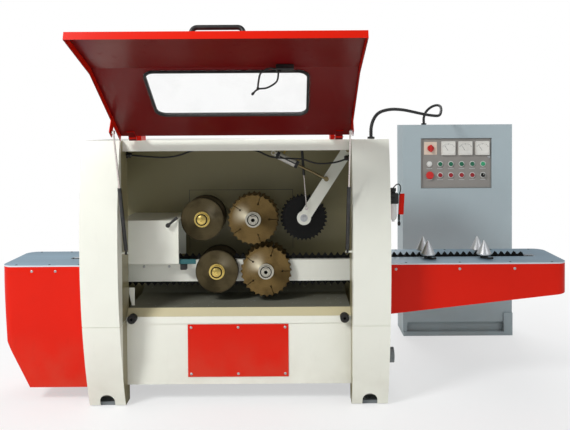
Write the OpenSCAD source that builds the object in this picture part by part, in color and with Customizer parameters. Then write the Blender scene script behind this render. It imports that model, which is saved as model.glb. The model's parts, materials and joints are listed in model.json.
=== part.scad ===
// Multi rip saw for round logs: chain feed, two saw arbors, top-hinged hood
// and a free-standing control cabinet. X runs along the feed, Y away from the
// operator, Z up. The origin is on the floor, amid the four anchor bolts.

/* [Frame] */
// clear width between the two columns
col_gap = 1274; // [1200:1:1400]
// width of one column
col_w = 205; // [180:1:240]
// height of the columns and of the roof
col_h = 1501; // [1480:1:1560]
// how far the columns bulge in front of the chain line
col_bulge = 430; // [400:1:460]
// radius of the bulged column front
col_r = 2590; // [2200:10:3200]
// sheet thickness of the columns
col_t = 5; // [3:1:8]
// thickness of the frame plates
plate_t = 12; // [10:1:16]
// diameter of an anchor bolt hole
anchor_d = 22; // [16:1:26]

/* [Beds] */
// height of the bed plates
table_z = 787; // [775:1:815]
// width of the bed plates
table_w = 430; // [400:1:480]
// length of the infeed bed
right_bed_l = 1046; // [920:1:1100]
// length of the outfeed bed
left_bed_l = 522; // [460:1:600]
// corner radius of the bed ends
bed_r = 65; // [40:1:80]
// thickness of the bed plates
table_t = 8; // [6:1:12]

/* [Saws] */
// saw blade diameter
blade_d = 305; // [280:1:306]
// saw blade thickness
blade_t = 3.2; // [2.4:0.2:4]
// teeth on one blade
blade_teeth = 28; // [20:1:40]
// diameter of the guide discs
disc_d = 252; // [220:1:260]
// board thickness between two blades
blade_pitch = 17; // [14:1:20]
// diameter of a saw arbor
arbor_d = 70; // [60:1:80]
// diameter of a guide disc shaft
disc_shaft_d = 50; // [40:1:60]
// radial running clearance of every shaft
run_gap = 0.05; // [0.02:0.01:0.1]

/* [Feed] */
// chain pitch
pitch = 38.1; // [37.6:0.1:38.6]
// sprocket teeth
sprocket_teeth = 12; // [12:2:14]
// width of the chain
chain_w = 24; // [20:1:30]
// width of the chain rail
rail_w = 90; // [80:1:100]
// diameter of the press wheel
wheel_d = 282; // [260:1:284]
// width of the press wheel
wheel_w = 70; // [50:1:76]
// base diameter of a centring cone
cone_d = 86; // [70:1:92]
// height of a centring cone
cone_h = 82; // [64:1:90]

/* [Hood] */
// length of the hood from hinge to bend
hood_l1 = 652; // [640:1:660]
// length of the hood from bend to lip
hood_l2 = 378; // [370:1:384]
// angle of the open hood above level
hood_open = 31; // [25:1:40]
// bend of the hood
hood_bend = 13; // [10:1:16]
// depth of the hood flanges
hood_flange = 32; // [26:1:34]
// hood sheet thickness
hood_t = 3; // [2:1:4]
// window width
win_w = 780; // [600:1:820]
// window height
win_h = 385; // [300:1:390]

/* [Cabinet] */
// cabinet width
cab_w = 816; // [780:1:880]
// cabinet depth
cab_d = 260; // [240:1:400]
// cabinet height
cab_h = 1580; // [1540:1:1660]
// width of the control panel
panel_w = 528; // [510:1:550]
// height of the control panel
panel_h = 374; // [360:1:400]
// spacing of the buttons
button_pitch = 80; // [76:1:84]

/* [Hidden] */
$fn = 64;
col_x0 = col_gap / 2;
col_x1 = col_x0 + col_w;
col_back = -190;
col_mid = 875;
seam_z = 485;
skirt_z = 6;
pad_t = 20;
foot_h = 95;
wall_y = 230;
floor_z = foot_h + plate_t;
roof_z = col_h - plate_t;
anchor_x = col_x0 + col_w / 2;
anchor_y = 230;
lintel_y = -292;
lintel_z = col_h - 61;
panel_y = -240;
shelf_z = 456;
shelf_h = 40;
shelf_y = -245;
tray_z = shelf_z + 80;
table_y = table_w / 2;
skin_t = 4;
// feed line
chain_r = 63.5;
chain_t = 15;
tooth_h = 18;
rail_z = table_z - table_t - chain_r - 0.5;
sprocket_x0 = 439 - col_x1 - left_bed_l;
run_links = floor((col_x1 + right_bed_l - 215 - sprocket_x0) / pitch);
sprocket_x1 = sprocket_x0 + run_links * pitch;
sprocket_r = chain_r - 1;
shaft_r = 15;
window_y = 160;
window_z0 = 595;
window_z1 = 1185;
// saw line: [x, z] of each arbor
saw_hi = [77, 1027];
saw_lo = [151, 721];
disc_hi = [-223, 1030];
disc_lo = [-139, 721];
stack_y = 61;
stack_ys = [for (s = [-1, 1], i = [0:2]) s * (stack_y + i * blade_pitch)];
stack_end = stack_y + 2 * blade_pitch + blade_t / 2;
core_r = 42;
nut_r = 46;
// press wheel arm
arm_pivot = [640, roof_z - 55];
wheel_at = [377, 1029];
arm_v = wheel_at - arm_pivot;
arm_l = norm(arm_v);
arm_a = atan2(arm_v[1], arm_v[0]);
function on_arm(along, aside) =
    arm_pivot + along * arm_v + aside * [arm_v[1], -arm_v[0]] / arm_l;
arm_y = -62;
arm_t = 20;
cyl_at = [200, roof_z - 69];
cyl_lug = on_arm(0.4424, 18.66);
cyl_y = -118;
lift_at = [367, roof_z - 54];
lift_lug = on_arm(0.8806, 19.55);
lift_y = -85;
// hood
hinge_y = -332;
hinge_z = col_h + 14;
hood_w = col_gap - 12;
hood_a = 180 - hood_open;
win_y0 = 240;
pin_r = 8;
lug_x = col_x0 - 92;
strut_x = col_x0 - 25;
strut_foot = [-335, col_h - 622];
stud_y = 222;
stud_z = 95;
strut_body = 392;
strut_top = [
    hinge_y + stud_y * cos(hood_a) + stud_z * cos(hood_a + 90),
    hinge_z + stud_y * sin(hood_a) + stud_z * sin(hood_a + 90)
];
// cabinet
cab_x = 1131;
cab_y = 962;
cab_t = 3;
panel_x = cab_x + 136;
panel_z = cab_h - 476;
panel_in = 15;
panel_front = cab_y + panel_in;
row_z = [panel_z + 181, panel_z + 98];
col_px = [for (i = [0:5]) panel_x + 66 + i * button_pitch];
meter_z = panel_z + 299;
meter_px = [for (i = [0:2]) panel_x + 206 + i * 127];
head_r = 16;
bezel_r = 21;
bezel_h = 6;
knuckle = [panel_x + 8, panel_front - 4];
// cone studs
cone_x = [col_x1 + right_bed_l - 778, col_x1 + right_bed_l - 445];
cone_y = 75;
cone_z = table_z + 22;
stud_r = 8;

// box from two opposite corners
module span(a, b) {
    translate(a) cube(b - a);
}

// cylinder along X from x0 to x1 about (y, z)
module xrod(r, x0, x1, y, z) {
    translate([x0, y, z]) rotate([0, 90, 0]) cylinder(r = r, h = x1 - x0);
}

// cylinder along Y from y0 to y1 about p = [x, z]
module yrod(r, y0, y1, p) {
    translate([p[0], y0, p[1]]) rotate([-90, 0, 0]) cylinder(r = r, h = y1 - y0);
}

// profile in Y and Z drawn along X from x0 to x1
module along_x(x0, x1) {
    translate([x0, 0, 0]) rotate([90, 0, 90]) linear_extrude(x1 - x0) children();
}

// profile in X and Z drawn along Y from y0 to y1
module along_y(y0, y1) {
    translate([0, y1, 0]) rotate([90, 0, 0]) linear_extrude(y1 - y0) children();
}

// both sides of the machine, mirrored about X = 0
module both() {
    children();
    mirror([1, 0, 0]) children();
}

// bulged column block between two heights, drawn in by inset
module column_block(z0, z1, inset) {
    intersection() {
        span([col_x0 + inset, -col_bulge - 10, z0], [col_x1 - inset, col_back - inset, z1]);
        xrod(col_r - inset, col_x0, col_x1, col_r - col_bulge, col_mid, $fn = 256);
    }
}

// upper and lower casing of one column, with the stud of a hood strut
module column() {
    difference() {
        column_block(seam_z, col_h, 0);
        column_block(seam_z - 1, col_h - col_t, col_t);
    }
    difference() {
        union() {
            column_block(skirt_z, seam_z - 4, 0);
            column_block(skirt_z, seam_z, 3);
        }
        column_block(skirt_z - 1, seam_z + 1, col_t + 3);
        span([anchor_x - 42, -500, 0], [anchor_x + 42, -240, 30]);
        span([anchor_x - 76, col_back - 10, 0], [anchor_x + 76, col_back + 1, pad_t + 1]);
        yrod(42, -500, -240, [anchor_x, 30]);
    }
    xrod(6, strut_x - 10, col_x0, strut_foot[0], strut_foot[1]);
}

module left_column() color("ivory") mirror([1, 0, 0]) column();

module right_column() color("ivory") {
    column();
    // round stub on the side, for a duct hose
    difference() {
        xrod(42.5, col_x1, col_x1 + 36, -255, 275);
        xrod(36, col_x1 + 4, col_x1 + 40, -255, 275);
    }
    // gland of the conduit
    translate([anchor_x + 18, -230, col_h]) cylinder(r = 20, h = 12, $fn = 6);
}

// floor plate on four feet, with the two end plates that the logs pass through
module base_frame() color("ivory") difference() {
    union() {
        span([-col_x1, col_back, foot_h], [col_x1, wall_y, floor_z]);
        both() for (s = [-1, 1]) {
            span([anchor_x - 75, s < 0 ? -anchor_y - 34 : 120, 0],
                [anchor_x + 75, s < 0 ? -120 : anchor_y + 50, pad_t]);
            span([anchor_x - 75, s < 0 ? -185 : 120, pad_t],
                [anchor_x + 75, s < 0 ? -120 : 185, foot_h]);
        }
        both() difference() {
            span([col_x1 - 20, col_back, floor_z], [col_x1, wall_y, roof_z]);
            span([col_x1 - 30, -window_y, window_z0], [col_x1 + 10, window_y, window_z1]);
        }
    }
    both() for (s = [-1, 1])
        translate([anchor_x, s * anchor_y, -1]) cylinder(d = anchor_d, h = pad_t + 2);
}

// rear wall with the holes for the bearing housings
module rear_wall() color("ivory") difference() {
    span([-col_x1, wall_y, floor_z - plate_t], [col_x1, wall_y + plate_t, roof_z]);
    for (p = [saw_hi, saw_lo]) yrod(85.2, wall_y - 1, wall_y + plate_t + 1, p);
    for (p = [disc_hi, disc_lo]) yrod(55.2, wall_y - 1, wall_y + plate_t + 1, p);
}

// hanger under the roof that carries a stud along -Y
module hanger(p, w, y0, y1, r, tip) {
    span([p[0] - w, y0, p[1] - w], [p[0] + w, y1, roof_z]);
    yrod(r, tip, y0, p);
}

// roof, lintel, hood hinge lugs and the hangers inside
module roof() color("ivory") {
    span([-col_x1, col_back, roof_z], [col_x1, wall_y + plate_t, col_h]);
    span([-col_x0, lintel_y, roof_z], [col_x0, col_back, col_h]);
    span([-col_x0, lintel_y, lintel_z], [col_x0, lintel_y + 8, roof_z]);
    both() {
        span([lug_x - 25, lintel_y, col_h], [lug_x, lintel_y + 60, hinge_z + 14]);
        span([lug_x - 25, hinge_y - 14, col_h], [lug_x, lintel_y, hinge_z + 14]);
        xrod(pin_r, lug_x, lug_x + 47, hinge_y, hinge_z);
    }
    hanger(arm_pivot, 40, arm_y + arm_t + 6, -14, shaft_r, arm_y - 10);
    hanger(cyl_at, 15, -94, -84, 8, cyl_y - 16);
    hanger(lift_at, 12, -66, -58, 5, lift_y - 10);
}

module front_panel() color("ivory") {
    span([-col_x0, panel_y, floor_z], [col_x0, panel_y + skin_t, shelf_z]);
    span([-col_x0, panel_y + skin_t, floor_z], [col_x0, col_back, floor_z + skin_t]);
}

module access_cover() color("firebrick") {
    span([346 - col_x0, panel_y - skin_t, shelf_z - 306], [col_x0 - 355, panel_y, shelf_z - 6]);
}

// one domed screw on a face that looks along -Y
module front_screw(x, y, z, r) {
    yrod(r, y - 4, y, [x, z]);
}

module cover_screws() color("dimgray") {
    for (x = [365 - col_x0, -4, col_x0 - 374], z = [shelf_z - 289, shelf_z - 23])
        front_screw(x, panel_y - skin_t, z, 8);
    for (x = [58, 0.4044 * right_bed_l, 0.7055 * right_bed_l])
        front_screw(col_x1 + x, -table_y, table_z - 34, 8);
    for (x = [48, 0.3985 * left_bed_l, 0.6571 * left_bed_l])
        front_screw(-col_x1 - x, -table_y, table_z - 34, 8);
}

// box section shelf, the slanting sill above it and the chip tray behind the sill
module front_sill() color("beige") {
    difference() {
        span([-col_x0, shelf_y, shelf_z], [col_x0, -185, shelf_z + shelf_h]);
        span([-col_x0 - 1, shelf_y + 4, shelf_z + 4], [col_x0 + 1, -189, shelf_z + shelf_h - 4]);
    }
    along_x(-col_x0, col_x0) polygon([
        [shelf_y + 5, shelf_z + shelf_h], [shelf_y + 45, shelf_z + 80],
        [shelf_y + 49, shelf_z + 80], [shelf_y + 11, shelf_z + shelf_h]
    ]);
    along_x(-col_x0, col_x0) polygon([
        [shelf_y + 46, tray_z - 4], [150, tray_z - 4], [wall_y, tray_z + 40],
        [wall_y, tray_z + 45], [149, tray_z], [shelf_y + 46, tray_z]
    ]);
}

// rubber stops that the closed hood rests on
module hood_buffers() color("black") {
    both() difference() {
        yrod(25, shelf_y - 41, shelf_y, [col_x0 - 37, shelf_z + 36]);
        yrod(8, shelf_y - 42, shelf_y - 20, [col_x0 - 37, shelf_z + 36]);
    }
}

// hollow chain rail with cheeks that hold the sprocket shafts
module feed_rail() color("ivory") difference() {
    union() {
        for (s = [-1, 1]) span(
            [sprocket_x0 - 38, s * (rail_w / 2 - 3) - 3, rail_z - 50],
            [sprocket_x1 + 38, s * (rail_w / 2 - 3) + 3, rail_z + 50]
        );
        difference() {
            span([sprocket_x0 + 72, -rail_w / 2, rail_z - chain_r],
                [sprocket_x1 - 72, rail_w / 2, rail_z + chain_r]);
            span([sprocket_x0 + 71, -rail_w / 2 + 6, rail_z - chain_r + 6],
                [sprocket_x1 - 71, rail_w / 2 - 6, rail_z + chain_r - 6]);
        }
        both() for (s = [-1, 1]) span([col_x1 - 20, s * 32 - 13, window_z0],
            [col_x1, s * 32 + 13, rail_z - chain_r]);
    }
    for (x = [sprocket_x0, sprocket_x1])
        yrod(shaft_r + run_gap, -rail_w, rail_w, [x, rail_z]);
    for (p = [saw_lo, disc_lo]) yrod(core_r + 8, -rail_w, rail_w, p);
}

// outline of the chain: straight runs and end turns, with a tooth on each link
function turn_pts(x, a0) = [
    for (i = [0:sprocket_teeth / 2 - 1], k = [0:2])
        let (step = 360 / sprocket_teeth, a = a0 - (i + [0.1, 0.5, 0.9][k]) * step,
            r = chain_r + chain_t + (k == 1 ? tooth_h : 0))
        [x + r * cos(a), rail_z + r * sin(a)]
];
function run_pts(x, s, side) = [
    for (i = [0:run_links - 1], k = [0:2])
        [x + s * (i + [0.1, 0.5, 0.9][k]) * pitch,
            rail_z + side * (chain_r + chain_t + (k == 1 ? tooth_h : 0))]
];

module feed_chain() color("dimgray") along_y(-chain_w / 2, chain_w / 2) difference() {
    polygon(concat(
        run_pts(sprocket_x0, 1, 1), turn_pts(sprocket_x1, 90),
        run_pts(sprocket_x1, -1, -1), turn_pts(sprocket_x0, 270)
    ));
    translate([sprocket_x0, rail_z - chain_r])
        square([sprocket_x1 - sprocket_x0, 2 * chain_r]);
    for (x = [sprocket_x0, sprocket_x1]) translate([x, rail_z]) circle(chain_r);
}

// toothed wheel inside the chain, on its own shaft
module sprocket(x, y0, y1) {
    along_y(-10, 10) translate([x, rail_z]) polygon([
        for (i = [0:sprocket_teeth - 1], k = [0:3])
            let (a = (i + k / 4) * 360 / sprocket_teeth, r = k < 2 ? sprocket_r : sprocket_r - 9)
            [r * cos(a), r * sin(a)]
    ]);
    yrod(shaft_r, y0, y1, [x, rail_z]);
    for (s = [-1, 1]) yrod(26, min(s * 10, s * 36), max(s * 10, s * 36), [x, rail_z]);
}

module drive_sprocket() color("silver") sprocket(sprocket_x0, -60, 110);

module idler_sprocket() color("silver") sprocket(sprocket_x1, -60, 60);

// tunnel over the sawn boards, hung from the rear wall
module outfeed_guard() color("ivory") {
    x0 = -col_x0 - 63;
    x1 = disc_hi[0] - 133;
    z0 = table_z - 12;
    z1 = table_z + 242;
    span([x0, -130, z1 - skin_t], [x1, wall_y, z1]);
    span([x0, -130, z0], [x1, skin_t - 130, z1 - skin_t]);
    span([x0, 130 - skin_t, z0 + 10], [x1, 130, z1 - skin_t]);
    span([x1 - skin_t, -144, z0], [x1, -130, z1]);
    yrod(9, -146, -130, [x1 - 59, z1 - 26]);
}

// plan of a bed, square at the frame and rounded at its free end
module bed_plan(l, inset) {
    r = bed_r - inset;
    w = table_y - inset;
    translate([0, -w]) square([l - bed_r, 2 * w]);
    translate([0, -table_y + bed_r]) square([l - inset, 2 * (table_y - bed_r)]);
    for (s = [-1, 1]) translate([l - bed_r, s * (table_y - bed_r)]) circle(r);
}

// bed plate with the slot that the chain runs in
module bed_top(l, slot) {
    translate([col_x1, 0, table_z - table_t]) linear_extrude(table_t) difference() {
        bed_plan(l, 0);
        translate([-1, -30]) square([slot + 1, 60]);
    }
}

// sheet skirt under a bed plate
module bed_skirt(l, z0) {
    translate([col_x1, 0, z0]) linear_extrude(table_z - table_t - z0) difference() {
        bed_plan(l, 0);
        translate([-1, -table_y + skin_t]) square([2, table_w - 2 * skin_t]);
        bed_plan(l, skin_t);
    }
}

module right_bed_top() color("gray") bed_top(right_bed_l, sprocket_x1 - col_x1 + 100);

module left_bed_top() color("gray") mirror([1, 0, 0])
    bed_top(left_bed_l, -sprocket_x0 - col_x1 + 100);

module right_bed_body() color("firebrick") difference() {
    bed_skirt(right_bed_l, table_z - 312);
    along_y(-table_y - 1, table_y + 1) polygon([
        [col_x1 - 1, table_z - 327], [col_x1 + right_bed_l + 1, table_z - 327],
        [col_x1 + right_bed_l + 1, table_z - 179], [col_x1 - 1, table_z - 294]
    ]);
}

// side outline of the outfeed bed body, drawn in by inset
module left_bed_side(inset) {
    e = col_x1 + left_bed_l - inset;
    translate([0, inset]) polygon([
        [col_x1 - 1, 85], [e - 160, 85], [e - 30, 350], [e, table_z], [col_x1 - 1, table_z]
    ]);
}

// bed body between its plan and its side outline
module left_bed_block(inset) {
    intersection() {
        translate([col_x1, 0, 85]) linear_extrude(table_z - table_t - 85 + inset)
            bed_plan(left_bed_l, inset);
        along_y(-table_y, table_y) left_bed_side(inset);
    }
}

module left_bed_body() color("firebrick") mirror([1, 0, 0]) difference() {
    left_bed_block(0);
    left_bed_block(skin_t);
}

// flanged housing for one shaft, set through the rear wall
module housing(p, flange, body, bore, l) {
    difference() {
        union() {
            yrod(flange, wall_y - 14, wall_y, p);
            yrod(body, wall_y, wall_y + l, p);
        }
        yrod(bore + run_gap, wall_y - 20, wall_y + l + 1, p);
    }
}

module bearing_housings() color("slategray") {
    for (p = [saw_hi, saw_lo]) housing(p, 110, 85, arbor_d / 2, 190);
    for (p = [disc_hi, disc_lo]) housing(p, 75, 55, disc_shaft_d / 2, 100);
}

// saw motors behind their arbors, and the feed gear motor in the outfeed bed
module drive_motors() color("steelblue") {
    for (p = [saw_hi, saw_lo]) difference() {
        union() {
            yrod(95, wall_y + 190, wall_y + 220, p);
            yrod(130, wall_y + 220, wall_y + 560, p);
            for (i = [0:7]) yrod(138, wall_y + 250 + i * 32, wall_y + 262 + i * 32, p);
            yrod(120, wall_y + 560, wall_y + 610, p);
        }
        yrod(arbor_d / 2 + 1, wall_y + 180, wall_y + 300, p);
    }
    difference() {
        union() {
            span([sprocket_x0 - 70, rail_w / 2, rail_z - 80], [sprocket_x0 + 70, 165, rail_z + 55]);
            translate([sprocket_x0, 105, rail_z - 310]) cylinder(r = 68, h = 230);
        }
        yrod(shaft_r + 1, 40, 115, [sprocket_x0, rail_z]);
    }
}

// sheet cabinet, open below, with a recess for the control panel
module cabinet() color("ivory") {
    difference() {
        span([cab_x, cab_y, 0], [cab_x + cab_w, cab_y + cab_d, cab_h]);
        span([cab_x + cab_t, cab_y + cab_t, -1],
            [cab_x + cab_w - cab_t, cab_y + cab_d - cab_t, cab_h - cab_t]);
        span([panel_x, cab_y - 1, panel_z], [panel_x + panel_w, cab_y + 10, panel_z + panel_h]);
        span([cab_x + 30, cab_y - 1, 30], [cab_x + cab_w - 64, cab_y + 10, 100]);
    }
    // rim that lines the recess
    difference() {
        span([panel_x - cab_t, cab_y + cab_t, panel_z - cab_t],
            [panel_x + panel_w + cab_t, cab_y + panel_in + 8, panel_z + panel_h + cab_t]);
        span([panel_x, cab_y, panel_z],
            [panel_x + panel_w, cab_y + panel_in + 9, panel_z + panel_h]);
    }
    // hinge pins of the control panel
    for (z = [panel_z, panel_z + panel_h - 20])
        translate([knuckle[0], knuckle[1], z]) cylinder(r = 3, h = 20);
    // plinth steps at the ends and the plate behind the toe recess
    span([cab_x + cab_w - 64, cab_y - 16, 0], [cab_x + cab_w, cab_y, 170]);
    span([cab_x, cab_y - 16, 0], [cab_x + cab_w - 64, cab_y, 28]);
    span([cab_x + cab_t, cab_y + 30, 20], [cab_x + cab_w - cab_t, cab_y + 33, 110]);
    // gland of the conduit
    translate([cab_x + 185, cab_y + 139, cab_h]) cylinder(r = 20, h = 12, $fn = 6);
}

// points of a smooth line through a route, n steps between two route points
function blend(p, i, t) =
    let (a = p[max(i - 1, 0)], b = p[i], c = p[i + 1], d = p[min(i + 2, len(p) - 1)])
    0.5 * (2 * b + (c - a) * t + (2 * a - 5 * b + 4 * c - d) * t * t
        + (3 * b - a - 3 * c + d) * t * t * t);
function route(p, n) = concat(
    [for (i = [0:len(p) - 2], k = [0:n - 1]) blend(p, i, k / n)], [p[len(p) - 1]]
);
function unit(v) = v / norm(v);

// the same points with a straight step a before the first and b after the last
function ended(p, a, b) = concat([p[0] + a], p, [p[len(p) - 1] + b]);

// round tube of radius r along the points, ref is never along the tube
module tube(pts, r, sides, ref) {
    n = len(pts);
    rings = [for (i = [0:n - 1])
        let (t = unit(pts[min(i + 1, n - 1)] - pts[max(i - 1, 0)]),
            u = unit(cross(t, ref)), v = cross(t, u))
        for (k = [0:sides - 1])
            pts[i] + r * (cos(k * 360 / sides) * u + sin(k * 360 / sides) * v)];
    sidewalls = [for (i = [0:n - 2], k = [0:sides - 1])
        [i * sides + k, (i + 1) * sides + k,
            (i + 1) * sides + (k + 1) % sides, i * sides + (k + 1) % sides]];
    ends = [[for (k = [0:sides - 1]) k],
        [for (k = [0:sides - 1]) n * sides - 1 - k]];
    polyhedron(points = rings, faces = concat(sidewalls, ends));
}

// conduit from the column to the cabinet
function between(t) = col_h + t * (cab_h - col_h);
conduit_route = [
    [anchor_x + 18, -230, col_h + 20], [anchor_x + 20, -229, col_h + 67],
    [col_x1 - 62, -204, between(0) + 118], [col_x1 - 20, -140, between(0) + 153],
    [col_x1 + 65, 19, between(0.2) + 156], [col_x1 + 162, 191, between(0.3) + 149],
    [cab_x - 41, cab_y - 628, between(0.5) + 124], [cab_x + 44, cab_y - 497, between(0.7) + 98],
    [cab_x + 137, cab_y - 362, cab_h + 64], [cab_x + 218, cab_y - 241, cab_h + 65],
    [cab_x + 265, cab_y - 99, cab_h + 101], [cab_x + 281, cab_y + 3, cab_h + 136],
    [cab_x + 264, cab_y + 64, cab_h + 146], [cab_x + 232, cab_y + 107, cab_h + 132],
    [cab_x + 201, cab_y + 131, cab_h + 99], [cab_x + 185, cab_y + 139, cab_h + 55],
    [cab_x + 185, cab_y + 139, cab_h + 20]
];
// cable that hangs under the lintel between the columns
cable_y = -205;
cable_route = [
    [8 - col_x0, cable_y, roof_z - 73], [-561, cable_y, roof_z - 79],
    [-430, cable_y, roof_z - 88], [-340, cable_y, roof_z - 77],
    [-250, cable_y, roof_z - 49], [-70, cable_y, roof_z - 33],
    [90, cable_y, roof_z - 49], [190, cable_y, roof_z - 88],
    [300, cable_y, roof_z - 99], [370, cable_y, roof_z - 103],
    [450, cable_y, roof_z - 127], [550, cable_y, roof_z - 123],
    [col_x0 - 8, cable_y, roof_z - 97]
];

module conduit() color("black") {
    tube(ended(route(conduit_route, 4), [0, 0, -8], [0, 0, -8]), 10, 10, [1, -0.5, 0]);
    tube(ended(route(cable_route, 4), [-8, 0, 0], [8, 0, 0]), 5, 8, [0, 1, 0]);
}

// filter, valve block and bowl on the side of the right column
module air_unit() color("dimgray") {
    z = col_h - 466;
    span([col_x1, -310, z], [col_x1 + 6, -225, z + 170]);
    span([col_x1 + 6, -298, z + 102], [col_x1 + 62, -240, z + 162]);
    translate([col_x1 + 34, -269, z]) cylinder(r = 21, h = 102);
    translate([col_x1 + 34, -269, z + 162]) cylinder(r = 17, h = 28);
    span([col_x1 + 62, -280, z + 15], [col_x1 + 98, -272, z + 160]);
}

// places children drawn flat at the hinge on the open hood
module on_hood() {
    translate([0, hinge_y, hinge_z]) rotate([hood_a, 0, 0]) children();
}

// side outline of the hood between two depths from its inner face
function hood_line(z) = [
    [22, z], [hood_l1 - z * tan(hood_bend / 2), z],
    [hood_l1 + hood_l2 * cos(hood_bend) - z * sin(hood_bend),
        hood_l2 * sin(hood_bend) + z * cos(hood_bend)]
];
function turned(p) = [for (i = [len(p) - 1:-1:0]) p[i]];
module hood_profile(z0, z1) {
    polygon(concat(hood_line(z0), turned(hood_line(z1))));
}

module window_shape(extra) {
    w = win_w / 2 + extra;
    h = win_h / 2 + extra;
    r = 50 + extra;
    translate([0, win_y0 + win_h / 2]) {
        square([2 * w, 2 * (h - r)], center = true);
        square([2 * (w - r), 2 * h], center = true);
        for (x = [-1, 1], y = [-1, 1]) translate([x * (w - r), y * (h - r)]) circle(r);
    }
}

module hood_shell() color("firebrick") on_hood() {
    difference() {
        along_x(-hood_w / 2, hood_w / 2) hood_profile(-hood_t, 0);
        translate([0, 0, -20]) linear_extrude(40) window_shape(0);
    }
    both() {
        along_x(hood_w / 2 - hood_t, hood_w / 2) hood_profile(0, hood_flange);
        span([hood_w / 2 - 7, stud_y - 26, hood_t], [hood_w / 2 - 3, stud_y + 26, stud_z + 14]);
        difference() {
            union() {
                xrod(15, lug_x + 3, lug_x + 43, 0, 0);
                span([lug_x + 3, 11, -3], [lug_x + 43, 70, 4]);
            }
            xrod(pin_r + run_gap, lug_x - 5, lug_x + 55, 0, 0);
        }
    }
    translate([0, hood_l1, 0]) rotate([hood_bend, 0, 0])
        span([-hood_w / 2, hood_l2 - hood_t, 0], [hood_w / 2, hood_l2, hood_flange]);
}

module hood_window() color("lightblue", 0.3) on_hood()
    linear_extrude(4) window_shape(10);

// U handle on the outer face near the lip
module hood_handle() color("black") on_hood() translate([0, hood_l1, 0])
    rotate([hood_bend, 0, 0]) {
        for (s = [-1, 1]) translate([s * 109, hood_l2 - 48, -hood_t - 40]) cylinder(r = 11, h = 40);
        xrod(11, -120, 120, hood_l2 - 48, -hood_t - 40);
    }

// mist block on the inner face, with its two bent tubes
mist_a = [[236, 672, 24], [205, 700, 42], [170, 690, 60], [156, 620, 60], [150, 560, 55]];
mist_b = [[250, 652, 30], [240, 600, 45], [195, 560, 52], [150, 545, 50], [124, 500, 44]];
module mist_lines() color("black") on_hood() {
    translate([0, hood_l1, 0]) rotate([hood_bend, 0, 0]) span([238, 4, 0], [322, 40, 26]);
    tube(route(mist_a, 5), 4, 8, [0.3, 0.2, 1]);
    tube(route(mist_b, 5), 4, 8, [0.3, 0.2, 1]);
}

// gas struts of the hood, drawn along their open line
strut_l = norm(strut_top - strut_foot);
strut_a = atan2(strut_top[1] - strut_foot[1], strut_top[0] - strut_foot[0]);
module on_strut() {
    both() translate([strut_x, strut_foot[0], strut_foot[1]]) rotate([strut_a - 90, 0, 0])
        children();
}

module strut_tubes() color("black") on_strut() difference() {
    union() {
        translate([0, 0, 18]) cylinder(r = 11, h = strut_body - 18);
        xrod(10, -6, 6, 0, 0);
        translate([0, 0, 8]) cylinder(r = 5, h = 12);
    }
    translate([0, 0, 40]) cylinder(r = 5.2, h = strut_body);
    xrod(6 + run_gap, -10, 10, 0, 0);
}

module strut_rods() color("silver") on_strut() {
    translate([0, 0, strut_body - 25]) cylinder(r = 5, h = strut_l - strut_body + 25);
    translate([0, 0, strut_l]) xrod(10, -6, 6, 0, 0);
}

// shaft that carries a stack of discs, with a round nut and its socket in front
module arbor(p, r, rear) {
    front = -stack_end;
    yrod(r, front - 12, rear, p);
    yrod(core_r, -stack_y + blade_t / 2, stack_y - blade_t / 2, p);
    for (s = [-1, 1], i = [0:1]) {
        a = s * (stack_y + i * blade_pitch + blade_t / 2);
        b = s * (stack_y + (i + 1) * blade_pitch - blade_t / 2);
        yrod(58, min(a, b), max(a, b), p);
    }
    yrod(58, stack_end, stack_end + 12, p);
    difference() {
        union() {
            yrod(nut_r, front - 14, front, p);
            yrod(nut_r - 8, front - 28, front - 14, p);
        }
        translate([p[0], front - 29, p[1]]) rotate([-90, 0, 0]) cylinder(r = 12, h = 14, $fn = 6);
    }
}

// toothed blades of one arbor
module blades(p, r) {
    for (y = stack_ys) along_y(y - blade_t / 2, y + blade_t / 2) translate(p) difference() {
        polygon([
            for (i = [0:blade_teeth - 1], k = [0:3])
                let (a = (i + [0, 0.28, 0.5, 0.95][k]) * 360 / blade_teeth,
                    d = [0, 7, 13, 9][k])
                [(blade_d / 2 - d) * cos(a), (blade_d / 2 - d) * sin(a)]
        ]);
        circle(r);
        for (i = [0:4]) rotate(i * 72) translate([95, -2]) square([60, 4]);
        for (i = [0:4]) rotate(i * 72) translate([95, 0]) circle(6);
    }
}

module upper_arbor() color("silver") arbor(saw_hi, arbor_d / 2, wall_y + 280);

module upper_blades() color("peru") blades(saw_hi, arbor_d / 2);

module lower_arbor() color("silver") arbor(saw_lo, arbor_d / 2, wall_y + 280);

module lower_blades() color("peru") blades(saw_lo, arbor_d / 2);

// smooth guide discs on their own shaft
module guide_discs(p) {
    arbor(p, disc_shaft_d / 2, wall_y + 105);
    for (y = stack_ys) difference() {
        yrod(disc_d / 2, y - blade_t / 2, y + blade_t / 2, p);
        yrod(disc_shaft_d / 2, y - blade_t, y + blade_t, p);
    }
}

module upper_discs() color("saddlebrown") guide_discs(disc_hi);

module lower_discs() color("saddlebrown") guide_discs(disc_lo);

// plate arm from the pivot to the wheel, with the axle and two lugs
module arm_plan() {
    translate(arm_pivot) circle(42);
    translate(wheel_at) circle(42);
    translate(arm_pivot) rotate(arm_a) translate([0, -34]) square([arm_l, 68]);
}

module press_arm() color("ivory") {
    difference() {
        along_y(arm_y, arm_y + arm_t) arm_plan();
        yrod(shaft_r + run_gap, arm_y - 1, arm_y + arm_t + 1, arm_pivot);
    }
    yrod(shaft_r, arm_y + 5, wheel_w / 2 + 14, wheel_at);
    yrod(24, wheel_w / 2 + 4, wheel_w / 2 + 14, wheel_at);
    yrod(24, arm_y + 5, -wheel_w / 2 - 1, wheel_at);
    yrod(12, cyl_y + 13, arm_y + 5, cyl_lug);
    yrod(8, lift_y + 7, arm_y + 5, lift_lug);
}

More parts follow.
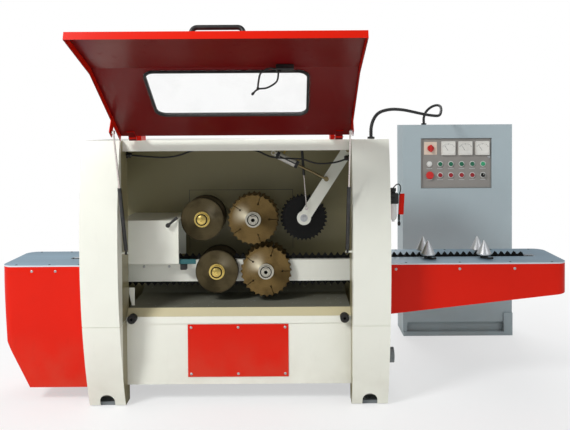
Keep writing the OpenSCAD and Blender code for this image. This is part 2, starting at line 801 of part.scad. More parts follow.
module press_wheel() color("black") along_y(-wheel_w / 2, wheel_w / 2) translate(wheel_at)
    difference() {
        polygon([
            for (i = [0:33], k = [0:2])
                let (a = (i + [0, 0.34, 0.66][k]) * 360 / 34,
                    r = wheel_d / 2 - (k == 0 ? 0 : 14))
                [r * cos(a), r * sin(a)]
        ]);
        circle(shaft_r + run_gap);
    }

// drawn from p toward q, along local X
module toward(p, q, y) {
    translate([p[0], y, p[1]]) rotate([0, -atan2(q[1] - p[1], q[0] - p[0]), 0]) children();
}

cyl_l = norm(cyl_lug - cyl_at);
module press_cylinder() color("silver") toward(cyl_at, cyl_lug, cyl_y) difference() {
    union() {
        xrod(22, 16, 160, 0, 0);
        span([-2, -12, -12], [20, 12, 12]);
        yrod(14, -12, 12, [0, 0]);
        span([20, -22, -22], [38, 22, 22]);
        span([142, -22, -22], [160, 22, 22]);
    }
    yrod(8 + run_gap, -20, 20, [0, 0]);
    xrod(7.2, 45, 170, 0, 0);
}

module press_rod() color("silver") toward(cyl_at, cyl_lug, cyl_y) {
    xrod(7, 140, cyl_l, 0, 0);
    yrod(14, -12, 12, [cyl_l, 0]);
}

lift_l = norm(lift_lug - lift_at);
lift_body = 0.4312 * lift_l;
module lift_tube() color("black") toward(lift_at, lift_lug, lift_y) difference() {
    union() {
        xrod(8, 10, lift_body, 0, 0);
        yrod(9, -6, 6, [0, 0]);
        xrod(4, 0, 12, 0, 0);
    }
    yrod(5 + run_gap, -10, 10, [0, 0]);
    xrod(4.2, 14, lift_body + 10, 0, 0);
}

module lift_rod() color("silver") toward(lift_at, lift_lug, lift_y) {
    xrod(4, lift_body - 16, lift_l, 0, 0);
    yrod(9, -6, 6, [lift_l, 0]);
}

module cone_studs() color("silver") for (x = cone_x, s = [-1, 1])
    translate([x, s * cone_y, table_z]) {
        cylinder(r = 15, h = cone_z - table_z - 0.5);
        cylinder(r = stud_r, h = cone_z - table_z + 50);
    }

// polished cone that centres the log
module cone(x, y) {
    translate([x, y, cone_z]) difference() {
        union() {
            cylinder(d = cone_d, h = 6);
            translate([0, 0, 6]) cylinder(d1 = cone_d, d2 = 8, h = cone_h - 6);
        }
        translate([0, 0, -1]) cylinder(r = stud_r + run_gap, h = 53);
    }
}

module cone_1() color("silver") cone(cone_x[0], -cone_y);

module cone_2() color("silver") cone(cone_x[0], cone_y);

module cone_3() color("silver") cone(cone_x[1], -cone_y);

module cone_4() color("silver") cone(cone_x[1], cone_y);

// plate that swings out of the cabinet, with the collars of its buttons
module control_panel() color("darkgray") difference() {
    union() {
        span([panel_x + 2, panel_front, panel_z + 2],
            [panel_x + panel_w - 2, panel_front + 4, panel_z + panel_h - 2]);
        translate([knuckle[0], knuckle[1], panel_z + 2]) cylinder(r = 6, h = panel_h - 4);
        for (x = col_px, z = row_z) yrod(bezel_r, panel_front - bezel_h, panel_front, [x, z]);
        span([col_px[0] - 40, panel_front - 3, meter_z - 48],
            [col_px[0] + 56, panel_front, meter_z + 48]);
    }
    for (x = col_px, z = row_z) yrod(head_r + 0.5, panel_front - 20, panel_front + 20, [x, z]);
    yrod(8.05, panel_front - 20, panel_front + 20, [col_px[0] + 8, meter_z]);
    for (z = [panel_z, panel_z + panel_h - 22])
        translate([knuckle[0], knuckle[1], z]) cylinder(r = 3 + run_gap, h = 22);
}

// meters and pilot lamps
module panel_instruments() color("white") {
    for (x = meter_px) translate([x, 0, meter_z])
        span([-52, panel_front - 18, -52], [52, panel_front, 52]);
    for (x = [col_px[0], col_px[5]])
        yrod(head_r + 0.5, panel_front - 14, panel_front + 4, [x, row_z[0]]);
}

// button cap in column i and row k of the panel, kept by a collar behind
module button(i, k, r, out) {
    p = [col_px[i], row_z[k]];
    yrod(head_r, panel_front - 14, panel_front + 14, p);
    yrod(head_r + 4, panel_front + 9, panel_front + 14, p);
    yrod(r, panel_front - 14 - out, panel_front - 14, p);
}

module green_1() color("green") button(1, 0, head_r, 1);

module green_2() color("green") button(2, 0, head_r, 1);

module green_3() color("green") button(3, 0, head_r, 1);

module green_4() color("green") button(4, 0, head_r, 1);

module red_1() color("red") button(1, 1, head_r, 1);

module red_2() color("red") button(2, 1, head_r, 1);

module red_3() color("red") button(3, 1, head_r, 1);

module red_4() color("red") button(4, 1, head_r, 1);

module emergency_stop() color("red") button(0, 1, 29, 14);

module selector_knob() color("black") {
    button(5, 1, head_r, 1);
    translate([col_px[5], 0, row_z[1]])
        span([-5, panel_front - 28, -15], [5, panel_front - 15, 15]);
}

module main_switch() color("red") translate([col_px[0] + 8, 0, meter_z]) {
    yrod(24, panel_front - 20, panel_front - 4, [0, 0]);
    yrod(8, panel_front - 4, panel_front + 10, [0, 0]);
    span([-7, panel_front - 38, -28], [7, panel_front - 20, 28]);
    yrod(12, panel_front + 6, panel_front + 10, [0, 0]);
}

base_frame();
left_column();
right_column();
rear_wall();
roof();
front_panel();
access_cover();
cover_screws();
front_sill();
feed_rail();
feed_chain();
outfeed_guard();
left_bed_top();
left_bed_body();
right_bed_top();
right_bed_body();
bearing_housings();
drive_motors();
cabinet();
conduit();
air_unit();
hood_buffers();
cone_studs();
hood_shell();
hood_window();
hood_handle();
mist_lines();
strut_tubes();
strut_rods();
upper_arbor();
upper_blades();
lower_arbor();
lower_blades();
upper_discs();
lower_discs();
press_arm();
press_wheel();
press_cylinder();
press_rod();
lift_tube();
lift_rod();
drive_sprocket();
idler_sprocket();
cone_1();
cone_2();
cone_3();
cone_4();
control_panel();
panel_instruments();
green_1();
green_2();
green_3();
green_4();
red_1();
red_2();
red_3();
red_4();
emergency_stop();
selector_knob();
main_switch();
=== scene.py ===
"""Looks of a multi rip saw for logs: finishes, cords, chain links, hood trim and control panel."""

import json
import math

import bpy
import numpy as np
from mathutils import Matrix, Vector


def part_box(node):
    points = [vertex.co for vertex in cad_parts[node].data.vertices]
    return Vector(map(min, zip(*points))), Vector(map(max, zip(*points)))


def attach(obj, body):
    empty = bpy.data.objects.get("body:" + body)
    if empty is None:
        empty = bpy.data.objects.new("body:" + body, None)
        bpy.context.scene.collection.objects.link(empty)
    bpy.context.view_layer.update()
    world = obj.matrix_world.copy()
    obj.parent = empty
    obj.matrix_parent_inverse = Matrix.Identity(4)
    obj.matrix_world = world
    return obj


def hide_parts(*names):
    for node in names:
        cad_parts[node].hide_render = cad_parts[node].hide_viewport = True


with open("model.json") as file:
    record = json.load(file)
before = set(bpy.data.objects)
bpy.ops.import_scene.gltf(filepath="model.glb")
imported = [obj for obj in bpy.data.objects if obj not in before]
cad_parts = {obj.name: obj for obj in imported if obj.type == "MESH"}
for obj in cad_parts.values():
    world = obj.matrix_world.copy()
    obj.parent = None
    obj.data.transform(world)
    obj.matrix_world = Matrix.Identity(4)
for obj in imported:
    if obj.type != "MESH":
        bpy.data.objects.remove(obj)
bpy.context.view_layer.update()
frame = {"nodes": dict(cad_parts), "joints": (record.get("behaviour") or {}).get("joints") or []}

bl_info = {
    "name": "Multi Rip Saw Looks",
    "version": (1, 0, 0),
    "blender": (4, 5, 0),
    "location": "View3D > Sidebar > Rip Saw",
    "description": "Dresses the packed multi rip saw with finishes, cords and small pieces",
    "category": "Object",
}

NODES = frame["nodes"]
MM = 0.001
PIN = 0.1  # radius in mm at which a turned profile closes on its axis
LEFT, RIGHT = (-1, 0, 0), (1, 0, 0)
FRONT, BACK = (0, -1, 0), (0, 1, 0)
DOWN, UP = (0, 0, -1), (0, 0, 1)


def joint_at(name):
    """Place of a hinge in the frame's record, in metres."""
    return np.array(next(j["pos_m"] for j in frame["joints"] if j["name"] == name), float)


def paint(r, g, b):
    """Linear colour of a screen colour of 0 to 255: ((c + 0.055) / 1.055) ** 2.4 above the toe."""
    c = np.array([r, g, b], float) / 255
    c = np.where(c > 0.04045, ((c + 0.055) / 1.055) ** 2.4, c / 12.92)
    return tuple(float(x) for x in c) + (1.0,)


def colour_prop(label, text, rgb):
    """Colour setting, from a screen colour."""
    return bpy.props.FloatVectorProperty(
        name=label, description=text, subtype="COLOR", size=4, min=0, max=1, default=paint(*rgb)
    )


def length_prop(label, text, value):
    """Length setting, in metres."""
    return bpy.props.FloatProperty(
        name=label, description=text, unit="LENGTH", subtype="DISTANCE", default=value
    )


class RipSawColours(bpy.types.PropertyGroup):
    """Paint and metal colours of the saw."""

    casing: colour_prop("Casing", "Ivory paint of the columns and outer sheets", (237, 238, 226))
    # Chamber colour: warm cream paint, darkened to olive as painted shade for the shaded chamber.
    chamber: colour_prop("Chamber", "Paint of the walls behind the saws", (150, 142, 106))
    sill: colour_prop("Sill", "Paint of the slanting sill", (206, 197, 160))
    # Cabinet colour: cream paint, given a darker blue-grey as painted shade.
    cabinet: colour_prop("Cabinet", "Paint of the control cabinet", (172, 187, 192))
    red: colour_prop("Red", "Gloss paint of the hood and the beds", (216, 27, 4))
    # Hood shade red: the hood's red, darkened as painted shade for its inside.
    lining: colour_prop("Hood lining", "Darker red inside the hood", (100, 8, 10))
    bed: colour_prop("Bed", "Paint of the bed plates", (134, 158, 174))
    panel: colour_prop("Panel", "Paint of the control panel", (146, 143, 138))
    blade: colour_prop("Blade", "Bronze tint of the saw blades", (122, 100, 62))
    disc: colour_prop("Disc", "Browned steel of the guide discs", (88, 78, 56))
    brass: colour_prop("Brass", "Brass of the guide nuts", (216, 190, 110))


class RipSawSizes(bpy.types.PropertyGroup):
    """Sizes of the pieces that are added to the frame."""

    conduit: length_prop("Conduit", "Outer diameter of the ribbed conduit", 0.020)
    cable: length_prop("Cable", "Diameter of the cable under the lintel", 0.010)
    gasket: length_prop("Gasket", "Width of the rubber strip round the hood window", 0.016)
    link_plate: length_prop("Link plate", "Thickness of a chain side plate", 0.0028)
    handle: length_prop("Handle", "Radius of the hood handle", 0.011)
    pitch: length_prop("Chain pitch", "Distance between two chain pins", 0.0381)


def sizes():
    return bpy.context.scene.rip_saw_sizes


def colours():
    return bpy.context.scene.rip_saw_colours


def adding(operation, reflected=False):
    """Method of a wire that adds a Math node. A reflected one puts the wire second."""
    if reflected:
        return lambda self, other: self.math(operation, other, self)
    return lambda self, *values: self.math(operation, self, *values)


class Wire:
    """A shader socket. Sums and products of wires and numbers add Math nodes."""

    def __init__(self, finish, socket):
        self.finish, self.socket = finish, socket

    def math(self, operation, *values, clamp=False):
        settings = {"operation": operation, "use_clamp": clamp}
        return self.finish.node("ShaderNodeMath", settings, *values)

    __add__ = __radd__ = adding("ADD")
    __mul__ = __rmul__ = adding("MULTIPLY")
    __sub__, __rsub__ = adding("SUBTRACT"), adding("SUBTRACT", reflected=True)
    __truediv__, __rtruediv__ = adding("DIVIDE"), adding("DIVIDE", reflected=True)
    power, cosine = adding("POWER"), adding("COSINE")

    def clamped(self):
        return self.math("ADD", self, 0.0, clamp=True)


class Finish:
    """One material: a Principled shader with constants, and nodes for what changes over it."""

    def __init__(self, name, **sockets):
        self.material = bpy.data.materials.new(name)
        self.material.use_nodes = True
        self.tree = self.material.node_tree
        self.shader = self.tree.nodes["Principled BSDF"]
        for key, value in sockets.items():
            self.shader.inputs[key.replace("_", " ")].default_value = value
        self.place = self.node("ShaderNodeTexCoord", {}, out="Object")

    def node(self, kind, settings, *values, out=0, numbered=(), **named):
        made = self.tree.nodes.new(kind)
        for key, value in settings.items():
            setattr(made, key, value)
        for key, value in [*enumerate(values), *numbered, *named.items()]:
            self.feed(made.inputs[key], value)
        return Wire(self, made.outputs[out])

    def feed(self, socket, value):
        if isinstance(value, Wire):
            self.tree.links.new(value.socket, socket)
        else:
            socket.default_value = value

    def noise(self, scale, detail=3.0, stretch=None):
        at = self.place
        if stretch:
            at = self.node("ShaderNodeMapping", {}, at, Scale=stretch)
        return self.node("ShaderNodeTexNoise", {}, Vector=at, Scale=scale, Detail=detail)

    def axis(self, letter):
        return self.node("ShaderNodeSeparateXYZ", {}, self.place, out=letter)

    def mix(self, factor, a, b):
        """Colour a where the factor is 0, b where it is 1. A Mix node's colours go by number."""
        ends = ((6, a), (7, b))
        return self.node("ShaderNodeMix", {"data_type": "RGBA"}, factor, numbered=ends, out=2)

    def fade(self, value, low, high):
        """0 at low and 1 at high, straight between."""
        return ((value - low) / (high - low)).clamped()

    def set(self, key, value):
        self.feed(self.shader.inputs[key], value)

    def wear(self, colour, rough, height, strength, distance):
        """Feeds what changes over the surface: colour, roughness and relief."""
        bump = {"Strength": strength, "Distance": distance, "Height": height}
        self.set("Base Color", colour)
        self.set("Roughness", rough)
        self.set("Normal", self.node("ShaderNodeBump", {}, **bump))


def shade(c, k):
    """A colour made k times as bright."""
    return tuple(min(1.0, x * k) for x in c[:3]) + (1.0,)


def enamel(name, c, rough, coat, peel=0.08, dust=0.25, spec=0.45):
    """Sprayed paint: slow tone drift, orange peel, fine scuffs, and dust near the floor."""
    f = Finish(name, Coat_Weight=coat, Coat_Roughness=0.12, Specular_IOR_Level=spec)
    drift, scuff = f.noise(1.7, 4), f.noise(26, 5, (1.0, 1.0, 0.25))
    rub = f.fade(scuff, 0.62, 0.76)
    low = f.fade(f.axis("Z"), 0.42, 0.0) * f.fade(f.noise(6, 5), 0.3, 0.75) * dust
    tone = f.mix(f.fade(drift, 0.3, 0.7), shade(c, 0.94), shade(c, 1.03))
    tone = f.mix(rub * 0.22, tone, shade(c, 0.84))
    f.wear(f.mix(low, tone, paint(150, 134, 104)),
           rough + rub * 0.16 + low * 0.3 + drift * 0.06, f.noise(420, 2), peel, 0.0006)
    return f


def column_enamel(name, c):
    """Casing paint, with the chamber's colour darkened further as painted shade on the inner sides
    behind the front lip.
    """
    f = enamel(name, c, 0.36, 0.3)
    x, y = f.axis("X"), f.axis("Y")
    # Painted shade: the inner sides behind the front lip get the chamber colour at 0.8.
    painted_shade_mask = f.fade(y, -0.337, -0.334) * f.fade(x * x, 0.6385**2, 0.638**2)
    base = Wire(f, f.shader.inputs["Base Color"].links[0].from_socket)
    f.set("Base Color", f.mix(painted_shade_mask, base, shade(colours().chamber, 0.8)))


def bed_paint(name, c):
    """Worn paint on a bed plate: rubbed lanes along the feed and bare specks."""
    f = Finish(name, Coat_Weight=0.1, Coat_Roughness=0.3)
    lane = f.noise(9, 6, (0.12, 1.0, 1.0))
    speck = f.fade(f.noise(70, 4), 0.66, 0.72)
    tone = f.mix(f.fade(lane, 0.35, 0.7), shade(c, 0.88), shade(c, 1.1))
    f.wear(f.mix(speck * 0.6, tone, paint(186, 190, 192)), 0.44 + lane * 0.16 - speck * 0.12,
           f.noise(240, 3), 0.1, 0.0008)


def turned(name, c, joint, sector, rough, stain, rim, rim_darkening, glint):
    """Ground disc: rings about its axle, a painted highlight fan, a painted dark reflection fan,
    resin stains and a darker rim.
    """
    f = Finish(name, Metallic=1.0)
    at = joint_at(joint)
    dx, dz = f.axis("X") - at[0], f.axis("Z") - at[2]
    r, angle = (dx * dx + dz * dz).power(0.5), dx.math("ARCTAN2", dz, dx)
    ring = f.node("ShaderNodeTexNoise", {"noise_dimensions": "1D"}, W=r, Scale=420, Detail=4)
    # Painted highlight: a pale fan at the sector angle, as strong as glint, near the hub.
    bright = ((angle - sector).cosine() * 0.5 + 0.5).power(16.0)
    # Painted reflection: a dark fan nearly opposite the pale one.
    dark = ((angle - sector + 2.9).cosine() * 0.5 + 0.5).power(14.0)
    soil = f.fade(f.noise(11, 5), 0.48, 0.72) * stain
    tone = f.mix(f.fade(ring, 0.3, 0.7), shade(c, 0.78), shade(c, 1.16))
    tone = f.mix(bright * f.fade(r, 0.13, 0.05) * glint, tone, paint(255, 244, 214))
    tone = f.mix(dark * 0.75, tone, shade(c, 0.3))
    tone = f.mix(soil, tone, shade(c, 0.3))
    # A darker band at the rim.
    f.wear(f.mix(f.fade(r, rim - 0.012, rim) * rim_darkening, tone, paint(24, 20, 14)),
           rough + ring * 0.14 + soil * 0.25, ring, 0.12, 0.0004)


def drawn_metal(name, c, rough, stretch=(1.0, 1.0, 0.06), scale=160):
    """Bare metal with fine lines along one way and soft smudges."""
    f = Finish(name, Metallic=1.0)
    line, smudge = f.noise(scale, 4, stretch), f.noise(14, 4)
    f.wear(f.mix(f.fade(line, 0.3, 0.7), shade(c, 0.86), shade(c, 1.08)),
           rough + line * 0.12 + f.fade(smudge, 0.5, 0.8) * 0.12, line, 0.05, 0.0004)


def dark_metal(name, c, rough):
    """Blackened steel: oily sheen with paler worn spots."""
    f = Finish(name, Metallic=0.65)
    worn = f.fade(f.noise(60, 5), 0.58, 0.72)
    f.wear(f.mix(worn * 0.5, c, shade(c, 2.8)), rough + f.noise(30, 3) * 0.2 - worn * 0.1,
           f.noise(180, 3), 0.12, 0.0006)


def moulded(name, c, rough, grain=0.06, coat=0.0):
    """Moulded plastic or rubber: fine grain, faint dust."""
    f = Finish(name, Coat_Weight=coat, Coat_Roughness=0.08)
    dust = f.fade(f.noise(35, 4), 0.5, 0.8)
    f.wear(f.mix(dust * 0.25, c, f.mix(0.5, c, paint(120, 116, 108))), rough + dust * 0.12,
           f.noise(700, 2), grain, 0.0004)


def cast(name, c, rough):
    """Painted casting: coarse sand grain under the paint."""
    f = Finish(name, Coat_Weight=0.15, Coat_Roughness=0.25)
    grain, drift = f.noise(130, 4), f.noise(5, 3)
    f.wear(f.mix(f.fade(drift, 0.3, 0.7), shade(c, 0.85), shade(c, 1.1)), rough + grain * 0.15,
           grain, 0.25, 0.0012)


def clear_sheet(name, c, alpha):
    """Clear sheet: see-through, with wiped dust that shows as a thin haze."""
    f = Finish(name, Base_Color=c, Roughness=0.06, Specular_IOR_Level=0.6)
    haze = f.fade(f.noise(7, 5, (1.0, 0.35, 1.0)), 0.45, 0.8)
    f.set("Alpha", haze * 0.06 + alpha)


# Roughness, stain, rim, rim darkening and glint of the painted highlight, for blades and discs.
BLADE_WEAR_AND_HIGHLIGHT = (0.27, 0.6, 0.148, 0.3, 1.0)
DISC_WEAR_AND_HIGHLIGHT = (0.34, 0.7, 0.13, 0.85, 0.16)
# Every finish, by the function that makes it. A colour is a setting, or three of 0 to 255.
FINISHES = {
    enamel: {
        "casing_paint": ("casing", 0.36, 0.3),
        "chamber_paint": ("chamber", 0.48, 0.12, 0.08, 0.5),
        "sill_paint": ("sill", 0.42, 0.2),
        "cabinet_paint": ("cabinet", 0.42, 0.2, 0.14),
        "red_paint": ("red", 0.3, 0.06, 0.05, 0.25, 0.12),
        # The hood's darker red is painted shade on its inside faces.
        "hood_lining": ("lining", 0.26, 0.06, 0.05, 0.25, 0.16),
        "panel_paint": ("panel", 0.4, 0.15),
        "teal_plate": ((28, 92, 96), 0.4, 0.2),
    },
    column_enamel: {"column_paint": ("casing",)},
    bed_paint: {
        "bed_paint": ("bed",),
        "bed_edge": ((206, 214, 220),),
        "tray_sheet": ((112, 112, 100),),
    },
    turned: {
        "blade_upper": ("blade", "upper_saw_spin", 2.7, *BLADE_WEAR_AND_HIGHLIGHT),
        "blade_lower": ("blade", "lower_saw_spin", 2.5, *BLADE_WEAR_AND_HIGHLIGHT),
        "disc_upper": ("disc", "upper_guide_spin", 0.6, *DISC_WEAR_AND_HIGHLIGHT),
        "disc_lower": ("disc", "lower_guide_spin", 0.9, *DISC_WEAR_AND_HIGHLIGHT),
    },
    drawn_metal: {
        "brass": ("brass", 0.22),
        "steel": ((196, 192, 178), 0.24),
        "oiled_steel": ((136, 122, 88), 0.3),
        "zinc": ((196, 198, 198), 0.3, (1.0, 1.0, 0.06), 90),
        "rod_chrome": ((214, 205, 200), 0.14, (0.1, 0.1, 1.0)),
        "cone_steel": ((226, 228, 230), 0.32, (1.0, 1.0, 0.1), 240),
        "aluminium": ((206, 206, 204), 0.3, (0.08, 1.0, 1.0)),
    },
    dark_metal: {"black_steel": ((14, 14, 13), 0.42)},
    moulded: {
        "satin_body": ((196, 194, 186), 0.34, 0.05, 0.2),
        "bezel": ((226, 228, 224), 0.25, 0.03, 0.3),
        "black_lacquer": ((20, 20, 21), 0.3, 0.02, 0.3),
        "black_plastic": ((24, 24, 24), 0.46),
        "rubber": ((22, 22, 22), 0.62, 0.12),
        "white_plastic": ((228, 227, 220), 0.3, 0.03, 0.2),
        "pale_plate": ((226, 208, 190), 0.35, 0.03),
        "dial_ink": ((40, 42, 48), 0.5, 0.02),
        "red_plastic": ((206, 30, 26), 0.28, 0.02, 0.4),
        "button_red": ((150, 18, 30), 0.28, 0.02, 0.4),
        "button_green": ((16, 104, 74), 0.28, 0.02, 0.4),
        "lamp_white": ((226, 226, 222), 0.18, 0.01, 0.6),
        "lamp_green": ((40, 160, 110), 0.18, 0.01, 0.6),
    },
    cast: {
        "cast_paint": ((118, 124, 126), 0.5),
        "motor_paint": ((92, 112, 130), 0.42),
    },
    clear_sheet: {
        "clear_window": ((236, 242, 240), 0.05),
        "clear_bowl": ((206, 212, 208), 0.55),
    },
}


def finish(name):
    """The material of that name, made on first use."""
    label = f"ripsaw {name}"
    if label not in bpy.data.materials:
        make = next(kind for kind, rows in FINISHES.items() if name in rows)
        tone, *values = FINISHES[make][name]
        tone = getattr(colours(), tone) if isinstance(tone, str) else paint(*tone)
        make(label, tone, *values)
    return bpy.data.materials[label]


def dress(names, coat):
    """Gives CAD nodes one finish."""
    for n in names.split():
        data = NODES[n].data
        data.materials.clear()
        data.materials.append(finish(coat))
        data.polygons.foreach_set("material_index", np.zeros(len(data.polygons), np.int32))


def face_values(node, key):
    """Centre or normal of every face of a CAD node, one row each."""
    faces = NODES[node].data.polygons
    values = np.zeros(len(faces) * 3)
    faces.foreach_get(key, values)
    return values.reshape(-1, 3)


def dress_parts(node, base, *parts):
    """Gives a CAD node a base finish, and others to faces by a mask or a test of their centres."""
    dress(node, base)
    data = NODES[node].data
    at = face_values(node, "center")
    index = np.zeros(len(at), np.int32)
    for i, (coat, test) in enumerate(parts, 1):
        data.materials.append(finish(coat))
        index[test(*at.T) if callable(test) else test] = i
    data.polygons.foreach_set("material_index", index)


def rings(points, cap=True):
    """Surface through rings of points, an array (rows, columns, 3), with its two ends closed."""
    rows, columns = points.shape[:2]
    i, j = np.meshgrid(np.arange(rows - 1) * columns, np.arange(columns), indexing="ij")
    k = (j + 1) % columns
    faces = np.stack([i + j, i + k, i + columns + k, i + columns + j], -1).reshape(-1, 4).tolist()
    if cap:
        faces.append(list(range(columns))[::-1])
        faces.append([(rows - 1) * columns + j for j in range(columns)])
    return points.reshape(-1, 3), faces


def join(*shapes):
    """Several shapes as one: points in a row, each shape's faces moved on by the points before."""
    points, faces, start = [], [], 0
    for p, f in shapes:
        points.append(p)
        faces += [[v + start for v in face] for face in f]
        start += len(p)
    return np.concatenate(points), faces


def frame_of(axis):
    """Two unit vectors square to an axis, and the axis itself."""
    n = np.asarray(axis, float) / np.linalg.norm(axis)
    u = np.cross(n, UP if abs(n[2]) < 0.9 else RIGHT)
    u /= np.linalg.norm(u)
    return u, np.cross(n, u), n


def around(count):
    """Angles of a number of points, evenly round a circle."""
    return np.linspace(0, 2 * math.pi, count, endpoint=False)


def lathe(at, axis, profile, sides=32):
    """Turned shape: each (radius, height) of the profile, in mm, is a circle along the axis."""
    u, v, n = frame_of(axis)
    t = around(sides)
    r, h = np.array(profile, float).T * MM
    circle = np.cos(t)[:, None] * u + np.sin(t)[:, None] * v
    return rings(at + r[:, None, None] * circle + h[:, None, None] * n)


def corners(count):
    """Angles round four quarter turns, and the signs of X and Y of the corner that each is in."""
    quarter = np.linspace(0, math.pi / 2, count)
    turn = (quarter + np.arange(4)[:, None] * math.pi / 2).ravel()
    return turn, np.repeat([1, -1, -1, 1], count), np.repeat([1, 1, -1, -1], count)


def billet(at, u, v, w, h, r, levels, corner=6):
    """Rounded block in mm: a w by h rectangle of corner radius r in the plane of u and v, drawn in
    by each level's inset and carried to its height along u x v."""
    u, v = np.asarray(u, float), np.asarray(v, float)
    turn, sx, sy = corners(corner)
    out, least = [], 0.2
    for inset, height in levels:
        rr = max(r - inset, least)
        x = sx * (w / 2 - inset - rr) + rr * np.cos(turn)
        y = sy * (h / 2 - inset - rr) + rr * np.sin(turn)
        out.append((x[:, None] * u + y[:, None] * v + height * np.cross(u, v)) * MM)
    return rings(at + np.array(out))


def slab(lo, hi, edge=1.5, start=(0, 0, 0)):
    """Box between two corners in mm from a start, its upright edges rounded and its rims eased."""
    lo, hi = np.array(lo, float), np.array(hi, float)
    x, y, z = hi - lo
    e = min(edge, 0.3 * min(x, y, z))
    foot = np.array(start) + np.append((lo + hi)[:2] / 2, lo[2]) * MM
    levels = [(e, 0), (0, e), (0, z - e), (e, z)]
    return billet(foot, RIGHT, BACK, x, y, 1.5 * e, levels, 3)


def plate(outline, *depths):
    """Flat plate: an outline in X and Z, at two depths."""
    x, z = np.array(outline, float).T
    return rings(np.array([np.stack([x, np.full(len(x), y), z], 1) for y in depths]))


def line(route, steps, gap, start=(0, 0, 0)):
    """Smooth line through route points in mm from a start, as points a gap in mm apart.

    It is Catmull-Rom: each leg is half of
    2b + (c-a)t + (2a-5b+4c-d)t^2 + (3b-a-3c+d)t^3.
    """
    p = np.array(start) + np.array(route, float) * MM
    q = np.concatenate([p[:1], p, p[-1:]])
    t = np.linspace(0, 1, steps, endpoint=False)[None, :, None]
    a, b, c, d = (q[i : len(p) - 1 + i][:, None, :] for i in range(4))
    square, cube = 2 * a - 5 * b + 4 * c - d, 3 * b - a - 3 * c + d
    legs = 0.5 * (2 * b + (c - a) * t + square * t**2 + cube * t**3)
    path = np.concatenate([legs.reshape(-1, 3), p[-1:]])
    run = np.concatenate([[0], np.cumsum(np.linalg.norm(np.diff(path, axis=0), axis=1))])
    s = np.linspace(0, run[-1], max(8, int(run[-1] / (gap * MM))))
    return np.stack([np.interp(s, run, path[:, k]) for k in range(3)], 1)


def tube(path, radius, sides=16):
    """Round tube: a circle of the given radius at each path point, carried with least turning."""
    d = np.gradient(path, axis=0)
    d /= np.linalg.norm(d, axis=1)[:, None]
    u, side = np.zeros_like(d), frame_of(d[0])[0]
    for i, t in enumerate(d):
        side = side - t * (side @ t)
        side /= np.linalg.norm(side)
        u[i] = side
    v = np.cross(d, u)
    t = around(sides)[None, :, None]
    r = np.broadcast_to(radius, len(path))[:, None, None]
    return rings(path[:, None] + r * (np.cos(t) * u[:, None] + np.sin(t) * v[:, None]))


def repeat(shape, places, turns=None):
    """One shape set down many times: each copy is turned by its matrix and moved to its place."""
    p, f = shape
    copies = p[None] if turns is None else np.einsum("nij,kj->nki", turns, p)
    points = copies + np.array(places)[:, None, :]
    faces = [[v + i * len(p) for v in face] for i in range(len(places)) for face in f]
    return points.reshape(-1, 3), faces


def button_head(floor, socket, crown):
    """Profile of a button-head screw: a dome, with a socket sunk in its crown."""
    rim = [(5.2, 3.7), (7.2, 2.2), (8, 0), (PIN, 0)]
    return [(PIN, floor), (socket, floor), (socket, crown)] + rim


def add(name, data):
    """Puts data into the scene as an object."""
    made = bpy.data.objects.new(name, data)
    bpy.context.scene.collection.objects.link(made)
    return made


def piece(name, shape, coat, body="frame", replaced=None, flat=30):
    """Adds a shape as a piece that rides on a body, smooth where faces meet under flat degrees."""
    points, faces = shape
    data = bpy.data.meshes.new(name)
    data.from_pydata(points.tolist(), [], faces)
    data.validate()
    data.update()
    data.shade_smooth()
    data.set_sharp_from_angle(angle=math.radians(flat))
    data.materials.append(finish(coat))
    made = add(name, data)
    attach(made, body)
    if replaced:
        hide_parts(replaced)
    return made


def stage():
    """Camera, three soft lamps, white surround and floor."""
    scene = bpy.context.scene
    camera(scene)
    lamp("key", (-3.4, -4.2, 4.8), (0.1, 0, 0.7), 1.6, 290)
    lamp("fill", (4.6, -3.6, 3.4), (0.3, 0, 0.8), 3.0, 30)
    lamp("back", (1.0, 5.0, 4.2), (0.2, 0.3, 0.9), 4.0, 150)
    surround(scene)
    floor()
    scene.view_settings.view_transform = "Standard"


def camera(scene):
    """Camera from a fit: place in metres, angles in degrees, the rest in pixels."""
    place, angles = (0.320, -4.0249, 1.5752), (-1.264, -0.04, 0.352)
    width, height, focal, axis_x, axis_y = 570, 430, 668.8, 294.4, 140.9
    pitch, yaw, roll = (math.radians(a) for a in angles)
    turn = Matrix.Rotation(yaw, 3, "Z") @ Matrix.Rotation(pitch, 3, "X")
    turn = turn @ Matrix.Rotation(roll, 3, "Y")
    right, ahead, up = (turn.col[i] for i in range(3))
    lens = bpy.data.cameras.new("camera")
    lens.sensor_width = 36.0
    lens.sensor_fit = "HORIZONTAL"
    lens.lens = focal * lens.sensor_width / width
    lens.shift_x = -(axis_x - width / 2) / width
    lens.shift_y = (axis_y - height / 2) / width
    lens.clip_end = 100
    scene.camera = add("camera", lens)
    axes = Matrix((right, up, -ahead)).transposed().to_4x4()
    scene.camera.matrix_world = Matrix.Translation(place) @ axes


def lamp(name, at, to, size, watts):
    """Round area lamp at one point, facing another."""
    data = bpy.data.lights.new(name, "AREA")
    data.shape, data.size, data.energy = "DISK", size, watts
    aim = (Vector(at) - Vector(to)).to_track_quat("Z", "Y")
    add(name, data).matrix_world = Matrix.Translation(at) @ aim.to_matrix().to_4x4()


